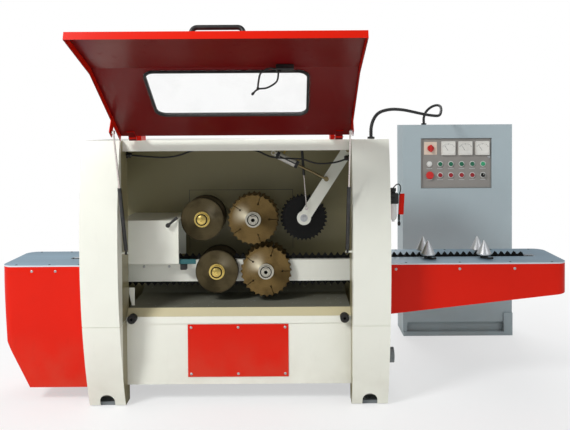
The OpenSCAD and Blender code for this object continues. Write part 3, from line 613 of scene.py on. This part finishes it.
def surround(scene):
    """World that lights softly, and is white where the camera looks at it."""
    world = bpy.data.worlds.new("surround")
    world.use_nodes = True
    scene.world = world
    nodes, links = world.node_tree.nodes, world.node_tree.links
    ground = nodes["Background"]
    ground.inputs["Color"].default_value = (0.96, 0.98, 1.0, 1.0)
    ground.inputs["Strength"].default_value = 0.42
    white = nodes.new("ShaderNodeBackground")
    white.inputs["Color"].default_value = (1.0, 1.0, 1.0, 1.0)
    kinds = ("ShaderNodeLightPath", "ShaderNodeMath", "ShaderNodeMixShader")
    path, either, mixed = (nodes.new(k) for k in kinds)
    either.operation = "MAXIMUM"
    links.new(path.outputs["Is Camera Ray"], either.inputs[0])
    links.new(path.outputs["Is Transmission Ray"], either.inputs[1])
    for i, source in enumerate((either, ground, white)):
        links.new(source.outputs[0], mixed.inputs[i])
    links.new(mixed.outputs[0], nodes["World Output"].inputs["Surface"])


def floor():
    """Disc of rings whose radius grows as 40 t^2, at floor level."""
    r = 40 * np.linspace(0.001, 1, 16)[:, None] ** 2
    t = around(48)
    grid = np.stack(np.broadcast_arrays(r * np.cos(t), r * np.sin(t), -0.0005), -1)
    points, faces = rings(grid, cap=False)
    data = bpy.data.meshes.new("floor")
    data.from_pydata(points.tolist(), [], faces)
    f = Finish("floor_white", Base_Color=(0.92, 0.92, 0.92, 1), Roughness=0.9)
    x, y = f.axis("X"), f.axis("Y")
    far = f.fade((x * x + y * y).power(0.5), 1.6, 5.0)
    glow = f.node("ShaderNodeEmission", {}, Color=(1, 1, 1, 1), Strength=1.0)
    path = f.node("ShaderNodeLightPath", {}, out="Is Camera Ray")
    share = (far * 0.45 + 0.55) * path
    both = f.node("ShaderNodeMixShader", {}, share, Wire(f, f.shader.outputs[0]), glow)
    f.feed(f.tree.nodes["Material Output"].inputs["Surface"], both)
    data.materials.append(f.material)
    add("floor", data)


class RIPSAW_OT_stage(bpy.types.Operator):
    """Camera at the photograph's viewing angle, soft lamps, white surround and a pale floor"""

    bl_idname = "ripsaw.stage"
    bl_label = "Stage"
    bl_options = {"REGISTER", "UNDO"}

    def execute(self, context):
        stage()
        return {"FINISHED"}


def cords():
    """Tubes along smooth routes: the conduit's radius falls by a share between its ribs."""
    rib_depth, cable_y = 0.09, -205
    path = line([
        (757.5, -230, 1513), (759.5, -229, 1568), (780, -204, 1619), (822, -140, 1654),
        (907, 19, 1673), (1004, 191, 1674), (1090, 334, 1665), (1175, 465, 1654),
        (1268, 600, 1644), (1349, 721, 1645), (1396, 863, 1681), (1412, 965, 1716),
        (1395, 1026, 1726), (1363, 1069, 1712), (1332, 1093, 1679), (1316, 1101, 1635),
        (1316, 1101, 1592),
    ], 24, 3.5)
    between = 0.5 - 0.5 * np.cos(np.arange(len(path)) * math.pi * 0.5)
    shape = tube(path, sizes().conduit / 2 * (1 - rib_depth * between), 14)
    hose = piece("conduit_hose", shape, "rubber", replaced="conduit", flat=60)
    path = line([(x, cable_y, z) for x, z in (
        (-637, 1416), (-561, 1410), (-430, 1401), (-340, 1412), (-250, 1440), (-70, 1456),
        (90, 1440), (190, 1401), (300, 1390), (370, 1386), (450, 1362), (550, 1366),
        (637, 1392),
    )], 24, 8)
    shape = tube(path, sizes().cable / 2, 10)
    cable = piece("lintel_cable", shape, "rubber", replaced="conduit")
    gland = [(PIN, 0), (20, 0), (20, 10), (16, 12), (16, 24), (11, 31), (PIN, 31)]
    ends = [lathe(end - np.array(way) * MM, way, gland, 6)
            for end, way in ((path[0], RIGHT), (path[-1], LEFT))]
    piece("cable_glands", join(*ends), "black_plastic")


class RIPSAW_OT_cords(bpy.types.Operator):
    """Ribbed conduit from the column to the cabinet and the cable that hangs under the lintel"""

    bl_idname = "ripsaw.cords"
    bl_label = "Cords"
    bl_options = {"REGISTER", "UNDO"}

    def execute(self, context):
        cords()
        return {"FINISHED"}


def dress_casing():
    """Paint by faces: the names are planes, in metres, that part one finish from the next."""
    guard_front, tray_front, lip_back, lintel_back = -0.1445, -0.188, -0.2405, -0.28
    column_side, column_top, port_top, feet_top = 0.8425, 1.502, 0.4, 0.1
    roof_foot, roof_top, lug_foot, lug_side, red_side = 1.49, 1.5015, 1.5065, 0.5455, 0.5456
    ends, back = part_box("base_frame")[1].x - MM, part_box("rear_wall")[1].y - MM
    dress("front_panel feed_rail", "casing_paint")
    dress("left_column", "column_paint")
    dress_parts("outfeed_guard", "casing_paint", ("black_plastic", lambda x, y, z: y < guard_front))
    dress_parts("right_column", "column_paint",
                ("cast_paint", lambda x, y, z: (x > column_side) & (z < port_top)),
                ("black_plastic", lambda x, y, z: z > column_top))
    # Painted shade: faces inside the chamber get the darkened chamber colour, outer faces the
    # casing ivory.
    dress_parts("base_frame", "chamber_paint",
                ("casing_paint", lambda x, y, z: abs(x) > ends),
                ("cast_paint", lambda x, y, z: z < feet_top))
    dress_parts("rear_wall", "chamber_paint", ("casing_paint", lambda x, y, z: y > back))
    dress_parts("roof", "casing_paint",
                ("zinc", lambda x, y, z: (abs(x) > lug_side) & (z > lug_foot)),
                ("red_paint", lambda x, y, z: (abs(x) < red_side) & (z > roof_top)),
                ("chamber_paint", lambda x, y, z: (z < roof_foot) & (y > lintel_back)))
    dress_parts("front_sill", "sill_paint",
                ("tray_sheet", lambda x, y, z: y > tray_front),
                ("casing_paint", lambda x, y, z: y < lip_back))
    dress("access_cover", "red_paint")
    dress("hood_buffers", "rubber")


def chamber_fittings():
    """Painted shadow line on the rear wall's plate seam, strip and block beside the guard, lever,
    gusset.
    """
    # Painted shadow: dark strips along the plate's edges stand for its shadow line.
    seam = [slab((-349, 229.2, 1171), (311, 229.9, 1173.5), 0.3)]
    for x in (-349, 308.5):
        seam.append(slab((x, 229.2, 800), (x + 2.5, 229.9, 1171), 0.3))
    piece("rear_seam", join(*seam), "dial_ink")
    piece("guide_strip", slab((-356, -128, 772), (-258, -122, 800), 2), "teal_plate")
    piece("guide_block", slab((-352, -126, 737), (-312, -96, 772), 4), "black_plastic")
    low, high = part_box("outfeed_guard")
    foot = np.array([high.x - 0.059, low.y, high.z - 0.026])
    path = line([(0, -8, 0), (16, -9, 13), (34, -8, 29), (54, -6, 46)], 10, 2, foot)
    boss = lathe(foot, FRONT, [(PIN, -2), (13, -2), (13, 11), (11, 14), (PIN, 14)], 20)
    arm = tube(path, np.linspace(7, 8.5, len(path)) * MM, 12)
    piece("guard_lever", join(arm, boss), "black_plastic")
    corner = np.array([(-637, 648), (-637, 612), (-622, 545), (-606, 545), (-606, 648)]) * MM
    piece("slot_gusset", plate(corner, -0.176, -0.18), "casing_paint")


def screws():
    """Button-head screws of the cover, the beds and the rail, each a turned profile."""
    spots = [(x, -0.244, z) for x in (-0.272, -0.004, 0.263) for z in (0.167, 0.433)]
    spots += [(x, -0.215, 0.753) for x in (0.9, 1.265, 1.58, -1.185, -1.05, -0.89)]
    spots += [(x, -0.045, 0.742) for x in (-0.58, -0.43)]
    one = lathe((0, 0, 0), FRONT, button_head(1, 2.8, 4.2), 14)
    piece("screw_heads", repeat(one, spots), "zinc", replaced="cover_screws")


class RIPSAW_OT_casing(bpy.types.Operator):
    """Paint of the columns, walls, roof and sill, with the fittings in the saw chamber"""

    bl_idname = "ripsaw.casing"
    bl_label = "Casing"
    bl_options = {"REGISTER", "UNDO"}

    def execute(self, context):
        dress_casing()
        chamber_fittings()
        screws()
        return {"FINISHED"}


HINGE = joint_at("hood_hinge") * (0, 1, 1)


def dress_hood():
    """Red shell, with a darker red painted as shade where its faces look inward, with its window
    and struts.
    """
    inward = (0.0, -0.515, -0.857)
    # Painted shade: faces that look inward get the darker red.
    painted_shade_mask = face_values("hood_shell", "normal") @ inward > 0.8
    dress_parts("hood_shell", "red_paint", ("hood_lining", painted_shade_mask))
    dress("hood_window", "clear_window")
    dress("strut_tubes", "black_lacquer")
    dress("strut_rods", "rod_chrome")


def tilt(points, degrees):
    """Points turned about the X axis."""
    a = math.radians(degrees)
    (x, y, z), cos, sin = points.T, math.cos(a), math.sin(a)
    return np.stack([x, y * cos - z * sin, y * sin + z * cos], 1)


def on_hood(shape, past_fold=False):
    """A shape drawn flat at the hinge, bent on at the fold line, and turned up to the hood."""
    opened, fold, fold_y = 149, 13, 0.652
    p, f = shape
    if past_fold:
        p = tilt(p, fold) + (0, fold_y, 0)
    return tilt(p, opened) + HINGE, f


def gasket():
    """Rubber strip: a waisted oval carried round the window's rounded rectangle."""
    w, h, r, g = 0.390, 0.1925, 0.05, sizes().gasket
    middle, thick, lift, waist = 0.4325, 0.0115, 0.0005, 0.22
    turn, sx, sy = corners(10)
    t = around(14)
    wide = g / 2 * np.cos(t) * (1 - waist * np.cos(2 * t))
    x = (sx * (w - r))[:, None] + np.cos(turn)[:, None] * (r + wide)
    y = (middle + sy * (h - r))[:, None] + np.sin(turn)[:, None] * (r + wide)
    points = np.stack(np.broadcast_arrays(x, y, thick * np.sin(t) + lift), -1)
    shape = rings(np.concatenate([points, points[:1]]), cap=False)
    piece("window_gasket", on_hood(shape), "rubber", "hood")


def mist():
    """Manifold block with two bent tubes along smooth lines, each with a turned nozzle."""
    block = billet((0.280, 0.022, 0), RIGHT, BACK, 84, 36, 5, [(2, 0), (0, 2), (0, 23), (3, 26)])
    plug = lathe((0.255, 0.022, 0.026), UP, [(9, 0), (9, 8), (PIN, 8)], 6)
    shapes = [on_hood(join(block, plug), True)]
    tip = [(6.5, -4), (6.5, 10), (3, 16), (PIN, 16)]
    for route in (
        [(236, 672, 24), (205, 700, 42), (170, 690, 60), (156, 620, 60), (150, 560, 55)],
        [(250, 652, 30), (240, 600, 45), (195, 560, 52), (150, 545, 50), (124, 500, 44)],
    ):
        path = line(route, 16, 6)
        nozzle = lathe(path[-1], path[-1] - path[-2], tip, 14)
        shapes += [on_hood(tube(path, 0.0045, 12)), on_hood(nozzle)]
    piece("mist_tubes", join(*shapes), "black_plastic", "hood", replaced="mist_lines")


def handle():
    """U handle: a circle carried along two legs, two quarter bends and a bar, on foot discs."""
    top, half, edge, bend = -0.043, 0.109, 0.33, 0.024
    a = np.linspace(0, math.pi / 2, 9)
    left = np.stack([-half + bend - bend * np.cos(a), np.full(9, edge),
                     top + bend - bend * np.sin(a)], 1)
    right = left[::-1] * [-1, 1, 1]
    path = np.concatenate([[(-half, edge, -0.004)], left, right, [(half, edge, -0.004)]])
    disc = [(18, 0), (18, 4), (13, 7), (PIN, 7)]
    feet = [lathe((s * half, edge, -0.003), DOWN, disc, 20) for s in (-1, 1)]
    shape = on_hood(join(tube(path, sizes().handle, 16), *feet), True)
    piece("handle_bar", shape, "black_plastic", "hood", replaced="hood_handle")


class RIPSAW_OT_hood(bpy.types.Operator):
    """Hood paint, window, rubber gasket, handle and mist block"""

    bl_idname = "ripsaw.hood"
    bl_label = "Hood"
    bl_options = {"REGISTER", "UNDO"}

    def execute(self, context):
        dress_hood()
        mist()
        gasket()
        handle()
        return {"FINISHED"}


def dress_beds():
    """Red bodies, with black painted as shade on the faces that look to the middle, and plates with
    pale edges.
    """
    for body, top in ((f"{hand}_bed_body", f"{hand}_bed_top") for hand in ("left", "right")):
        low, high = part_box(body)
        outward = face_values(body, "center") - np.array((low + high) / 2)
        painted_shade_mask = (outward * face_values(body, "normal")).sum(1) < 0
        # Painted shade: black on the faces inside each bed body, so the feed slot shows dark.
        dress_parts(body, "red_paint", ("black_plastic", painted_shade_mask))
        side = abs(face_values(top, "normal")[:, 2]) < 0.5
        dress_parts(top, "bed_paint", ("bed_edge", side))
    dress("cone_1 cone_2 cone_3 cone_4", "cone_steel")
    dress("cone_studs", "zinc")
    dress("drive_sprocket idler_sprocket", "black_steel")


def plate_screws():
    """Countersunk screws in the bed plates: a flat turned head with a shallow socket."""
    head = [(PIN, 0.4), (2.2, 0.4), (3, 1.2), (6.2, 1.2), (6.8, 0), (PIN, 0)]
    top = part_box("right_bed_top")[1].z
    along = (0.96, 1.27, 1.56, 1.8, -0.92, -1.09, -1.28)
    spots = [(x, y, top) for x in along for y in (-0.195, 0.195)]
    heads = repeat(lathe((0, 0, 0), UP, head, 12), spots)
    piece("plate_screws", heads, "black_steel")


def chain():
    """Links on two straight runs and two half turns: spiked and plain plates with pins."""
    a, b = joint_at("drive_spin"), joint_at("idler_spin")
    pitch, t, mid, wrap = sizes().pitch, sizes().link_plate, 0.071, 6
    n, z = round((b[0] - a[0]) / pitch), a[2]
    along = (np.arange(n) + 0.5) * pitch
    lay = (np.arange(wrap) + 0.5) * math.pi / wrap
    flat = 0 * along
    half = np.concatenate([
        np.stack([a[0] + along, z + mid + flat, flat], 1),
        np.stack([b[0] + mid * np.sin(lay), z + mid * np.cos(lay), -lay], 1),
    ])
    other = half * (-1, -1, 1) + (a[0] + b[0], 2 * z, math.pi)
    x, height, angle = np.concatenate([half, other]).T
    c, s, o = np.cos(angle), np.sin(angle), 0 * angle
    turns = np.stack([np.stack(row, 1) for row in ((c, o, -s), (o, o + 1, o), (s, o, c))], 1)
    places = np.stack([x, o, height], 1)
    k = pitch / 2
    spiked = [(-k - 0.004, 0), (-k, -0.0072), (0, -0.006), (k, -0.0072), (k + 0.004, 0),
              (k, 0.0072), (0.0145, 0.0072), (0.0015, 0.0252), (-0.0015, 0.0252),
              (-0.0145, 0.0072), (-k, 0.0072)]
    plain = [(-k - 0.002, 0), (-k, -0.006), (k, -0.006), (k + 0.002, 0), (k, 0.006), (-k, 0.006)]
    shapes = [plate(outline, y + t / 2, y - t / 2) for sign in (-1, 1)
              for outline, y in ((spiked, sign * 0.0105), (plain, sign * 0.0068))]
    for y, r, length in ((0.0118, 3.2, 23.6), (0.005, 5.5, 10)):
        shapes.append(lathe((k, y, 0), FRONT, [(r, 0), (r, length)], 8))
    links = repeat(join(*shapes), places, turns)
    piece("chain_links", links, "black_steel", replaced="feed_chain")


def levers():
    """Clamp levers: a tapered bent rod with a collar and a ball end, at each front cone."""
    rod = [(0, 0, 0), (3, -25, 0), (7, -43, -0.5), (16, -56, -0.5), (30, -62, 2)]
    ring = [(22, 0), (22, 13), (19, 17), (15.5, 19)]
    knob = [(PIN, 0), (6, 2), (8.5, 8), (6, 14), (PIN, 16)]
    for i, x in enumerate((1.110, 1.443), 1):
        path = line(rod, 12, 2, (x, -0.075, 0.797))
        arm = tube(path, np.linspace(8, 5.5, len(path)) * MM, 12)
        collar = lathe((x, -0.075, 0.7872), UP, ring, 24)
        ball = lathe(path[-1] - (0.008, 0, 0), RIGHT, knob, 14)
        piece(f"clamp_lever_{i}", join(arm, collar, ball), "black_plastic")


class RIPSAW_OT_beds(bpy.types.Operator):
    """Bed paint, spiked chain links, cones with their clamp levers and the sprockets"""

    bl_idname = "ripsaw.beds"
    bl_label = "Beds"
    bl_options = {"REGISTER", "UNDO"}

    def execute(self, context):
        dress_beds()
        plate_screws()
        chain()
        levers()
        return {"FINISHED"}


def dress_saws():
    """Ground blades and discs, with bare steel and brass in front of the nose plane."""
    nose, nut_radius, arm_front = -0.0966, 0.0468, -0.0625
    cylinder_y, tube_half = -0.118, 0.0217
    for hand in ("upper", "lower"):
        dress(f"{hand}_blades", f"blade_{hand}")
        dress_parts(f"{hand}_arbor", "black_steel", ("steel", lambda x, y, z: y < nose))
        cx, _, cz = joint_at(f"{hand}_guide_spin")
        x, y, z = face_values(f"{hand}_discs", "center").T
        nut = (y < nose) & (np.hypot(x - cx, z - cz) < nut_radius)
        dress_parts(f"{hand}_discs", f"disc_{hand}", ("brass", nut))
    dress("press_wheel", "black_steel")
    dress_parts("press_arm", "casing_paint", ("zinc", lambda x, y, z: y < arm_front))
    dress_parts("press_cylinder", "satin_body",
                ("black_plastic", lambda x, y, z: abs(y - cylinder_y) > tube_half))
    dress("press_rod", "oiled_steel")
    dress("lift_rod", "rod_chrome")
    dress("lift_tube", "black_lacquer")


def nuts():
    """Nut fronts: a groove ring on each hub, six-sided saw nuts and domed guide nuts."""
    groove = [(28.5, -1), (28.5, 0.8), (34.5, 0.8), (34.5, -1)]
    hexagon = [(12.2, -1), (12.2, 9), (22.5, 9), (26.2, 6.8), (26.2, -1)]
    dome = [(28, -1), (28, 2), (26, 5), (17, 8.5), (9, 9.5), (6.5, 7.5), (PIN, 7.5)]
    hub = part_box("upper_arbor")[0].y
    kinds = (("saw", hexagon, 6, "steel"), ("guide", dome, 32, "brass"))
    for kind, shape, sides, coat in kinds:
        for name in (f"upper_{kind}", f"lower_{kind}"):
            at = joint_at(f"{name}_spin") * (1, 0, 1) + (0, hub, 0)
            piece(f"{name}_groove", lathe(at, FRONT, groove, 36), "black_steel", name)
            piece(f"{name}_nut", lathe(at, FRONT, shape, sides), coat, name)


def press_fittings():
    """Six-sided turned elbows square to the air cylinder, and the wheel's axle bolt."""
    foot, eye, reach = joint_at("cylinder_swing"), np.array([0.508, -0.118, 1.265]), 0.020
    way = (eye - foot) / np.linalg.norm(eye - foot)
    rise = np.array([-way[2], 0, way[0]])
    body = [(8, 0), (8, 8), (6, 9), (6, 17), (4.5, 19), (PIN, 19)]
    elbows = [lathe(foot + way * s + rise * reach, rise, body, 6) for s in (0.06, 0.158)]
    piece("cylinder_elbows", join(*elbows), "brass", "cylinder")
    arm_front = -0.0622
    axle = joint_at("press_wheel_spin") * (1, 0, 1) + (0, arm_front, 0)
    washer = lathe(axle, FRONT, [(22, 0), (22, 3), (PIN, 3)], 28)
    bolt = lathe(axle, FRONT, [(13, 3), (13, 11), (11.5, 12), (PIN, 12)], 6)
    piece("axle_bolt", join(washer, bolt), "zinc", "arm")


class RIPSAW_OT_saws(bpy.types.Operator):
    """Blades, guide discs, nuts, press wheel and its cylinders"""

    bl_idname = "ripsaw.saws"
    bl_label = "Saws"
    bl_options = {"REGISTER", "UNDO"}

    def execute(self, context):
        dress_saws()
        nuts()
        press_fittings()
        return {"FINISHED"}


# Place of the main switch on the panel's front, and the columns and rows of the buttons under it.
SWITCH = joint_at("main_switch_turn")
COLUMNS = [SWITCH[0] - 0.008 + i * 0.08 for i in range(6)]
ROWS = [SWITCH[2] - 0.118, SWITCH[2] - 0.201]


def dress_cabinet():
    """Cabinet paint, and the panel's plate and bezel where its faces stand proud."""
    edge, line_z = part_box("control_panel")[0].x + 0.02, SWITCH[2] - 0.07
    cabinet_top, plate_half = 1.5805, 0.06
    dress_parts("cabinet", "cabinet_paint", ("black_plastic", lambda x, y, z: z > cabinet_top))
    x, y, z = face_values("control_panel", "center").T
    proud = y < SWITCH[1] - MM
    dress_parts("control_panel", "panel_paint",
                ("pale_plate", proud & (z > line_z) & (abs(x - SWITCH[0]) < plate_half)),
                ("bezel", proud & (z < line_z) & (x > edge)))


def panel_block(x, z, w, h, r, levels):
    """Rounded block that stands out of the panel towards the operator."""
    return billet((x, SWITCH[1], z), RIGHT, UP, w, h, r, levels)


def panel_knob(column, row, profile, sides):
    """Turned shape on the panel at a column and a row."""
    return lathe((COLUMNS[column], SWITCH[1], ROWS[row]), FRONT, profile, sides)


def meters():
    """Meters: a bezel sunk to a dial, an arc of ticks, a needle, a cover strip; two lamps."""
    bezel = [(0, 0), (0, 16), (2, 18), (6, 18), (7, 15.5)]
    strip = [(0, 15.4), (0, 17.2), (1, 17.6)]
    first, apart, arc, z = COLUMNS[0] + 0.14, 0.127, 0.058, SWITCH[2]
    cases, inks = [], []
    for x in (first + i * apart for i in range(3)):
        cases.append(panel_block(x, z, 104, 104, 6, bezel))
        cases.append(panel_block(x, z - 0.034, 88, 22, 2, strip))
        for k, degrees in enumerate(np.linspace(40, 140, 11)):
            tick = 0.009 if k % 5 == 0 else 0.0055
            inks.append(stroke((x, z - 0.022), degrees, arc - tick, arc))
        inks.append(stroke((x, z - 0.022), 124, 0.006, 0.052))
    piece("meter_cases", join(*cases), "white_plastic", "panel", replaced="panel_instruments")
    piece("meter_dials", join(*inks), "dial_ink", "panel")
    dome = [(16.5, 0), (16.5, 10), (14.5, 12.5), (9, 14.2), (PIN, 14.8)]
    for i, coat in ((0, "lamp_white"), (5, "lamp_green")):
        shape = panel_knob(i, 0, dome, 28)
        piece(f"lamp_{i}", shape, coat, "panel", replaced="panel_instruments")


def stroke(centre, degrees, r0, r1):
    """Thin stroke on a dial, from radius r0 to r1 at an angle."""
    width, thick, y = 0.0018, 0.0008, SWITCH[1] - 0.0156
    a = math.radians(degrees)
    d = np.array([math.cos(a), math.sin(a)])
    n = np.array([-d[1], d[0]]) * width / 2
    corner = np.array([d * r0 + n, d * r0 - n, d * r1 - n, d * r1 + n]) + centre
    return plate(corner, y, y - thick)


def buttons():
    """Push buttons: turned caps with an eased rim and a shallow dish, on a collared stem."""
    stem = [(PIN, -14), (20, -14), (20, -9), (16, -9)]
    cap = stem + [(16, 12.5), (14.8, 14.6), (12, 15), (PIN, 13.8)]
    for row, colour in enumerate(("green", "red")):
        for i in range(1, 5):
            piece(f"{colour}_cap_{i}", panel_knob(i, row, cap, 28), f"button_{colour}",
                  f"{colour}_{i}_cap", replaced=f"{colour}_{i}")
    head = stem + [(16, 14), (25.5, 15.5), (28.8, 19), (28.8, 22), (25.5, 26.2), (15, 28),
                   (PIN, 28.2)]
    piece("stop_head", panel_knob(0, 1, head, 36), "red_plastic", "estop_cap",
          replaced="emergency_stop")
    dress("selector_knob", "black_plastic")
    mark = panel_block(COLUMNS[5], ROWS[1] + 0.006, 2.4, 14, 1, [(0, 27.8), (0, 28.4), (0.4, 28.6)])
    piece("selector_mark", mark, "white_plastic", "selector_cap")


def main_switch():
    """Rotary switch: a turned rose, and a grip that is drawn in towards its crown."""
    stem = [(PIN, -10), (12, -10), (12, -6), (8, -6), (8, 4.2)]
    rose = lathe(SWITCH, FRONT, stem + [(24, 4.2), (24, 17), (22, 20), (PIN, 20.2)], 36)
    grip = panel_block(SWITCH[0], SWITCH[2], 14, 56, 6, [(0, 19), (0, 34), (2, 37.5), (4.5, 38)])
    shape = join(rose, grip)
    piece("switch_grip", shape, "red_plastic", "switch_handle", replaced="main_switch")


def legends():
    """Blank legend plates under the buttons and a quarter-turn lock at the panel's edge."""
    sheet = [(0, 0), (0, 1.2), (0.4, 1.6)]
    plates = [panel_block(x, z - 0.034, 42, 7, 1, sheet) for x in COLUMNS for z in ROWS]
    piece("legend_plates", join(*plates), "aluminium", "panel")
    x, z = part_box("control_panel")[1].x - 0.016, ROWS[0] + 0.05
    lock = lathe((x, SWITCH[1], z), FRONT, [(11, 0), (11, 5), (9, 7), (PIN, 7)], 24)
    key = panel_block(x, z, 3, 12, 1, [(0, 6.5), (0, 9.5), (0.5, 10)])
    piece("panel_lock", join(lock, key), "zinc", "panel")


class RIPSAW_OT_cabinet(bpy.types.Operator):
    """Cabinet paint, control panel, meters, lamps, buttons and switches"""

    bl_idname = "ripsaw.cabinet"
    bl_label = "Cabinet"
    bl_options = {"REGISTER", "UNDO"}

    def execute(self, context):
        dress_cabinet()
        meters()
        buttons()
        main_switch()
        legends()
        return {"FINISHED"}


def dress_back():
    """Paint of the housings and motors behind the rear wall."""
    dress("bearing_housings", "cast_paint")
    dress("drive_motors", "motor_paint")


def rear_covers():
    """Screwed sheet covers on the backs of the casing and the cabinet, the latter louvred."""
    wall, (low, high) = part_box("rear_wall")[1].y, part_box("cabinet")
    sheet, thick, inset = [(0, 0), (0, 2.2), (0.8, 3)], 0.003, 20
    middle, width = (low.x + high.x) / 2, (high.x - low.x) / MM - 90
    spots = []
    for name, coat, x, y, z, w, h in (
        ("casing_cover", "casing_paint", 0.0, wall, 0.4, 920, 300),
        ("cabinet_cover", "cabinet_paint", middle, high.y, 0.86, width, 1300),
    ):
        shapes = [billet((x, y, z), LEFT, UP, w, h, 12, sheet)]
        if name == "cabinet_cover":
            slots = [(x + side, y + thick, level + 0.032 * i) for side in (-0.11, 0.11)
                     for level in (0.34, 1.16) for i in range(8)]
            shapes.append(repeat(louvre(170, 11, 6), slots))
        piece(name, join(*shapes), coat)
        u, v = (w / 2 - inset) * MM, (h / 2 - inset) * MM
        spots += [(x + i * u, y + thick, z + j * v)
                  for i in (-1, 0, 1) for j in (-1, 0, 1) if i or j]
    one = lathe((0, 0, 0), BACK, button_head(1.5, 2.6, 4.4), 14)
    piece("cover_heads", repeat(one, spots), "zinc")


def louvre(width, height, depth):
    """Pressed louvre in mm: a half ring that shrinks to its ends as the root of 1 - u^2."""
    u = np.linspace(-0.995, 0.995, 11)[:, None]
    t = np.linspace(0, math.pi, 7)[None, :]
    size = np.sqrt(1 - u**2)
    grid = (u * width / 2, size * depth * np.sin(t), -size * height * np.cos(t))
    return rings(np.stack(np.broadcast_arrays(*grid), -1) * MM)


def air_unit():
    """Regulator block with a knob, a turned bowl and its pipe, on a painted bracket."""
    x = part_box("air_unit")[0].x
    start, axis, depth, lean = (x, 0, 0), x + 0.034, -0.269, 0.05
    back = slab((0, -310, 1035), (6, -225, 1205), start=start)
    points, faces = slab((62, -280, 1075), (92, -272, 1193), 2, start)
    points[:, 0] += (points[:, 2] - 1.075) * lean
    bracket = join(back, (points, faces))
    piece("air_bracket", bracket, "red_paint", replaced="air_unit")
    block = slab((6, -298, 1137), (62, -240, 1197), 5, start)
    grip = [(PIN, 0), (13, 0), (13, 6), (17, 8), (17, 25), (15, 28), (PIN, 28)]
    stub = [(12, 0), (12, 6), (8, 6), (8, 12), (PIN, 12)]
    knob = lathe((axis, depth, 1.197), UP, grip, 20)
    port = lathe((axis, -0.298, 1.165), FRONT, stub, 18)
    piece("air_block", join(block, knob, port), "black_plastic", replaced="air_unit")
    bowl = [(PIN, 0), (21, 0), (21, 70), (18, 86), (8, 94), (8, 102), (PIN, 102)]
    shape = lathe((axis, depth, 1.137), DOWN, bowl, 24)
    piece("air_bowl", shape, "clear_bowl", replaced="air_unit")
    path = line([
        (14, -291, 1193), (17, -291, 1207), (32, -291, 1226), (48, -290, 1243),
        (62, -288, 1247.5), (72, -286, 1236), (74, -285, 1218), (70, -284, 1200),
        (67, -284, 1184),
    ], 10, 3, start)
    drain = lathe((x + 0.066, -0.276, 1.077), DOWN, [
        (PIN, 0), (6, 0), (6, 30), (4.2, 34), (4.2, 40), (8, 46), (9, 54), (6, 63), (PIN, 66),
    ], 16)
    piece("air_pipe", join(tube(path, 0.003, 10), drain), "rubber",
          replaced="air_unit")


class RIPSAW_OT_fittings(bpy.types.Operator):
    """Air unit on the column, motors, housings and covers at the back"""

    bl_idname = "ripsaw.fittings"
    bl_label = "Fittings"
    bl_options = {"REGISTER", "UNDO"}

    def execute(self, context):
        dress_back()
        air_unit()
        rear_covers()
        return {"FINISHED"}


class RIPSAW_PT_pieces(bpy.types.Panel):
    """Sidebar list of the saw's pieces and settings"""

    bl_idname = "RIPSAW_PT_pieces"
    bl_label = "Rip Saw"
    bl_space_type = "VIEW_3D"
    bl_region_type = "UI"
    bl_category = "Rip Saw"

    def draw(self, context):
        for kind in OPERATORS:
            self.layout.operator(kind.bl_idname)
        for group in (context.scene.rip_saw_sizes, context.scene.rip_saw_colours):
            for key in group.__annotations__:
                self.layout.prop(group, key)


OPERATORS = (
    RIPSAW_OT_stage, RIPSAW_OT_cords, RIPSAW_OT_casing, RIPSAW_OT_hood,
    RIPSAW_OT_beds, RIPSAW_OT_saws, RIPSAW_OT_cabinet, RIPSAW_OT_fittings,
)
CLASSES = (RipSawColours, RipSawSizes) + OPERATORS + (RIPSAW_PT_pieces,)


def register():
    for kind in CLASSES:
        bpy.utils.register_class(kind)
    bpy.types.Scene.rip_saw_colours = bpy.props.PointerProperty(type=RipSawColours)
    bpy.types.Scene.rip_saw_sizes = bpy.props.PointerProperty(type=RipSawSizes)


def unregister():
    del bpy.types.Scene.rip_saw_sizes
    del bpy.types.Scene.rip_saw_colours
    for kind in reversed(CLASSES):
        bpy.utils.unregister_class(kind)


def main():
    register()
    for kind in OPERATORS:
        group, name = kind.bl_idname.split(".")
        getattr(getattr(bpy.ops, group), name)()


if __name__ == "__main__":
    main()
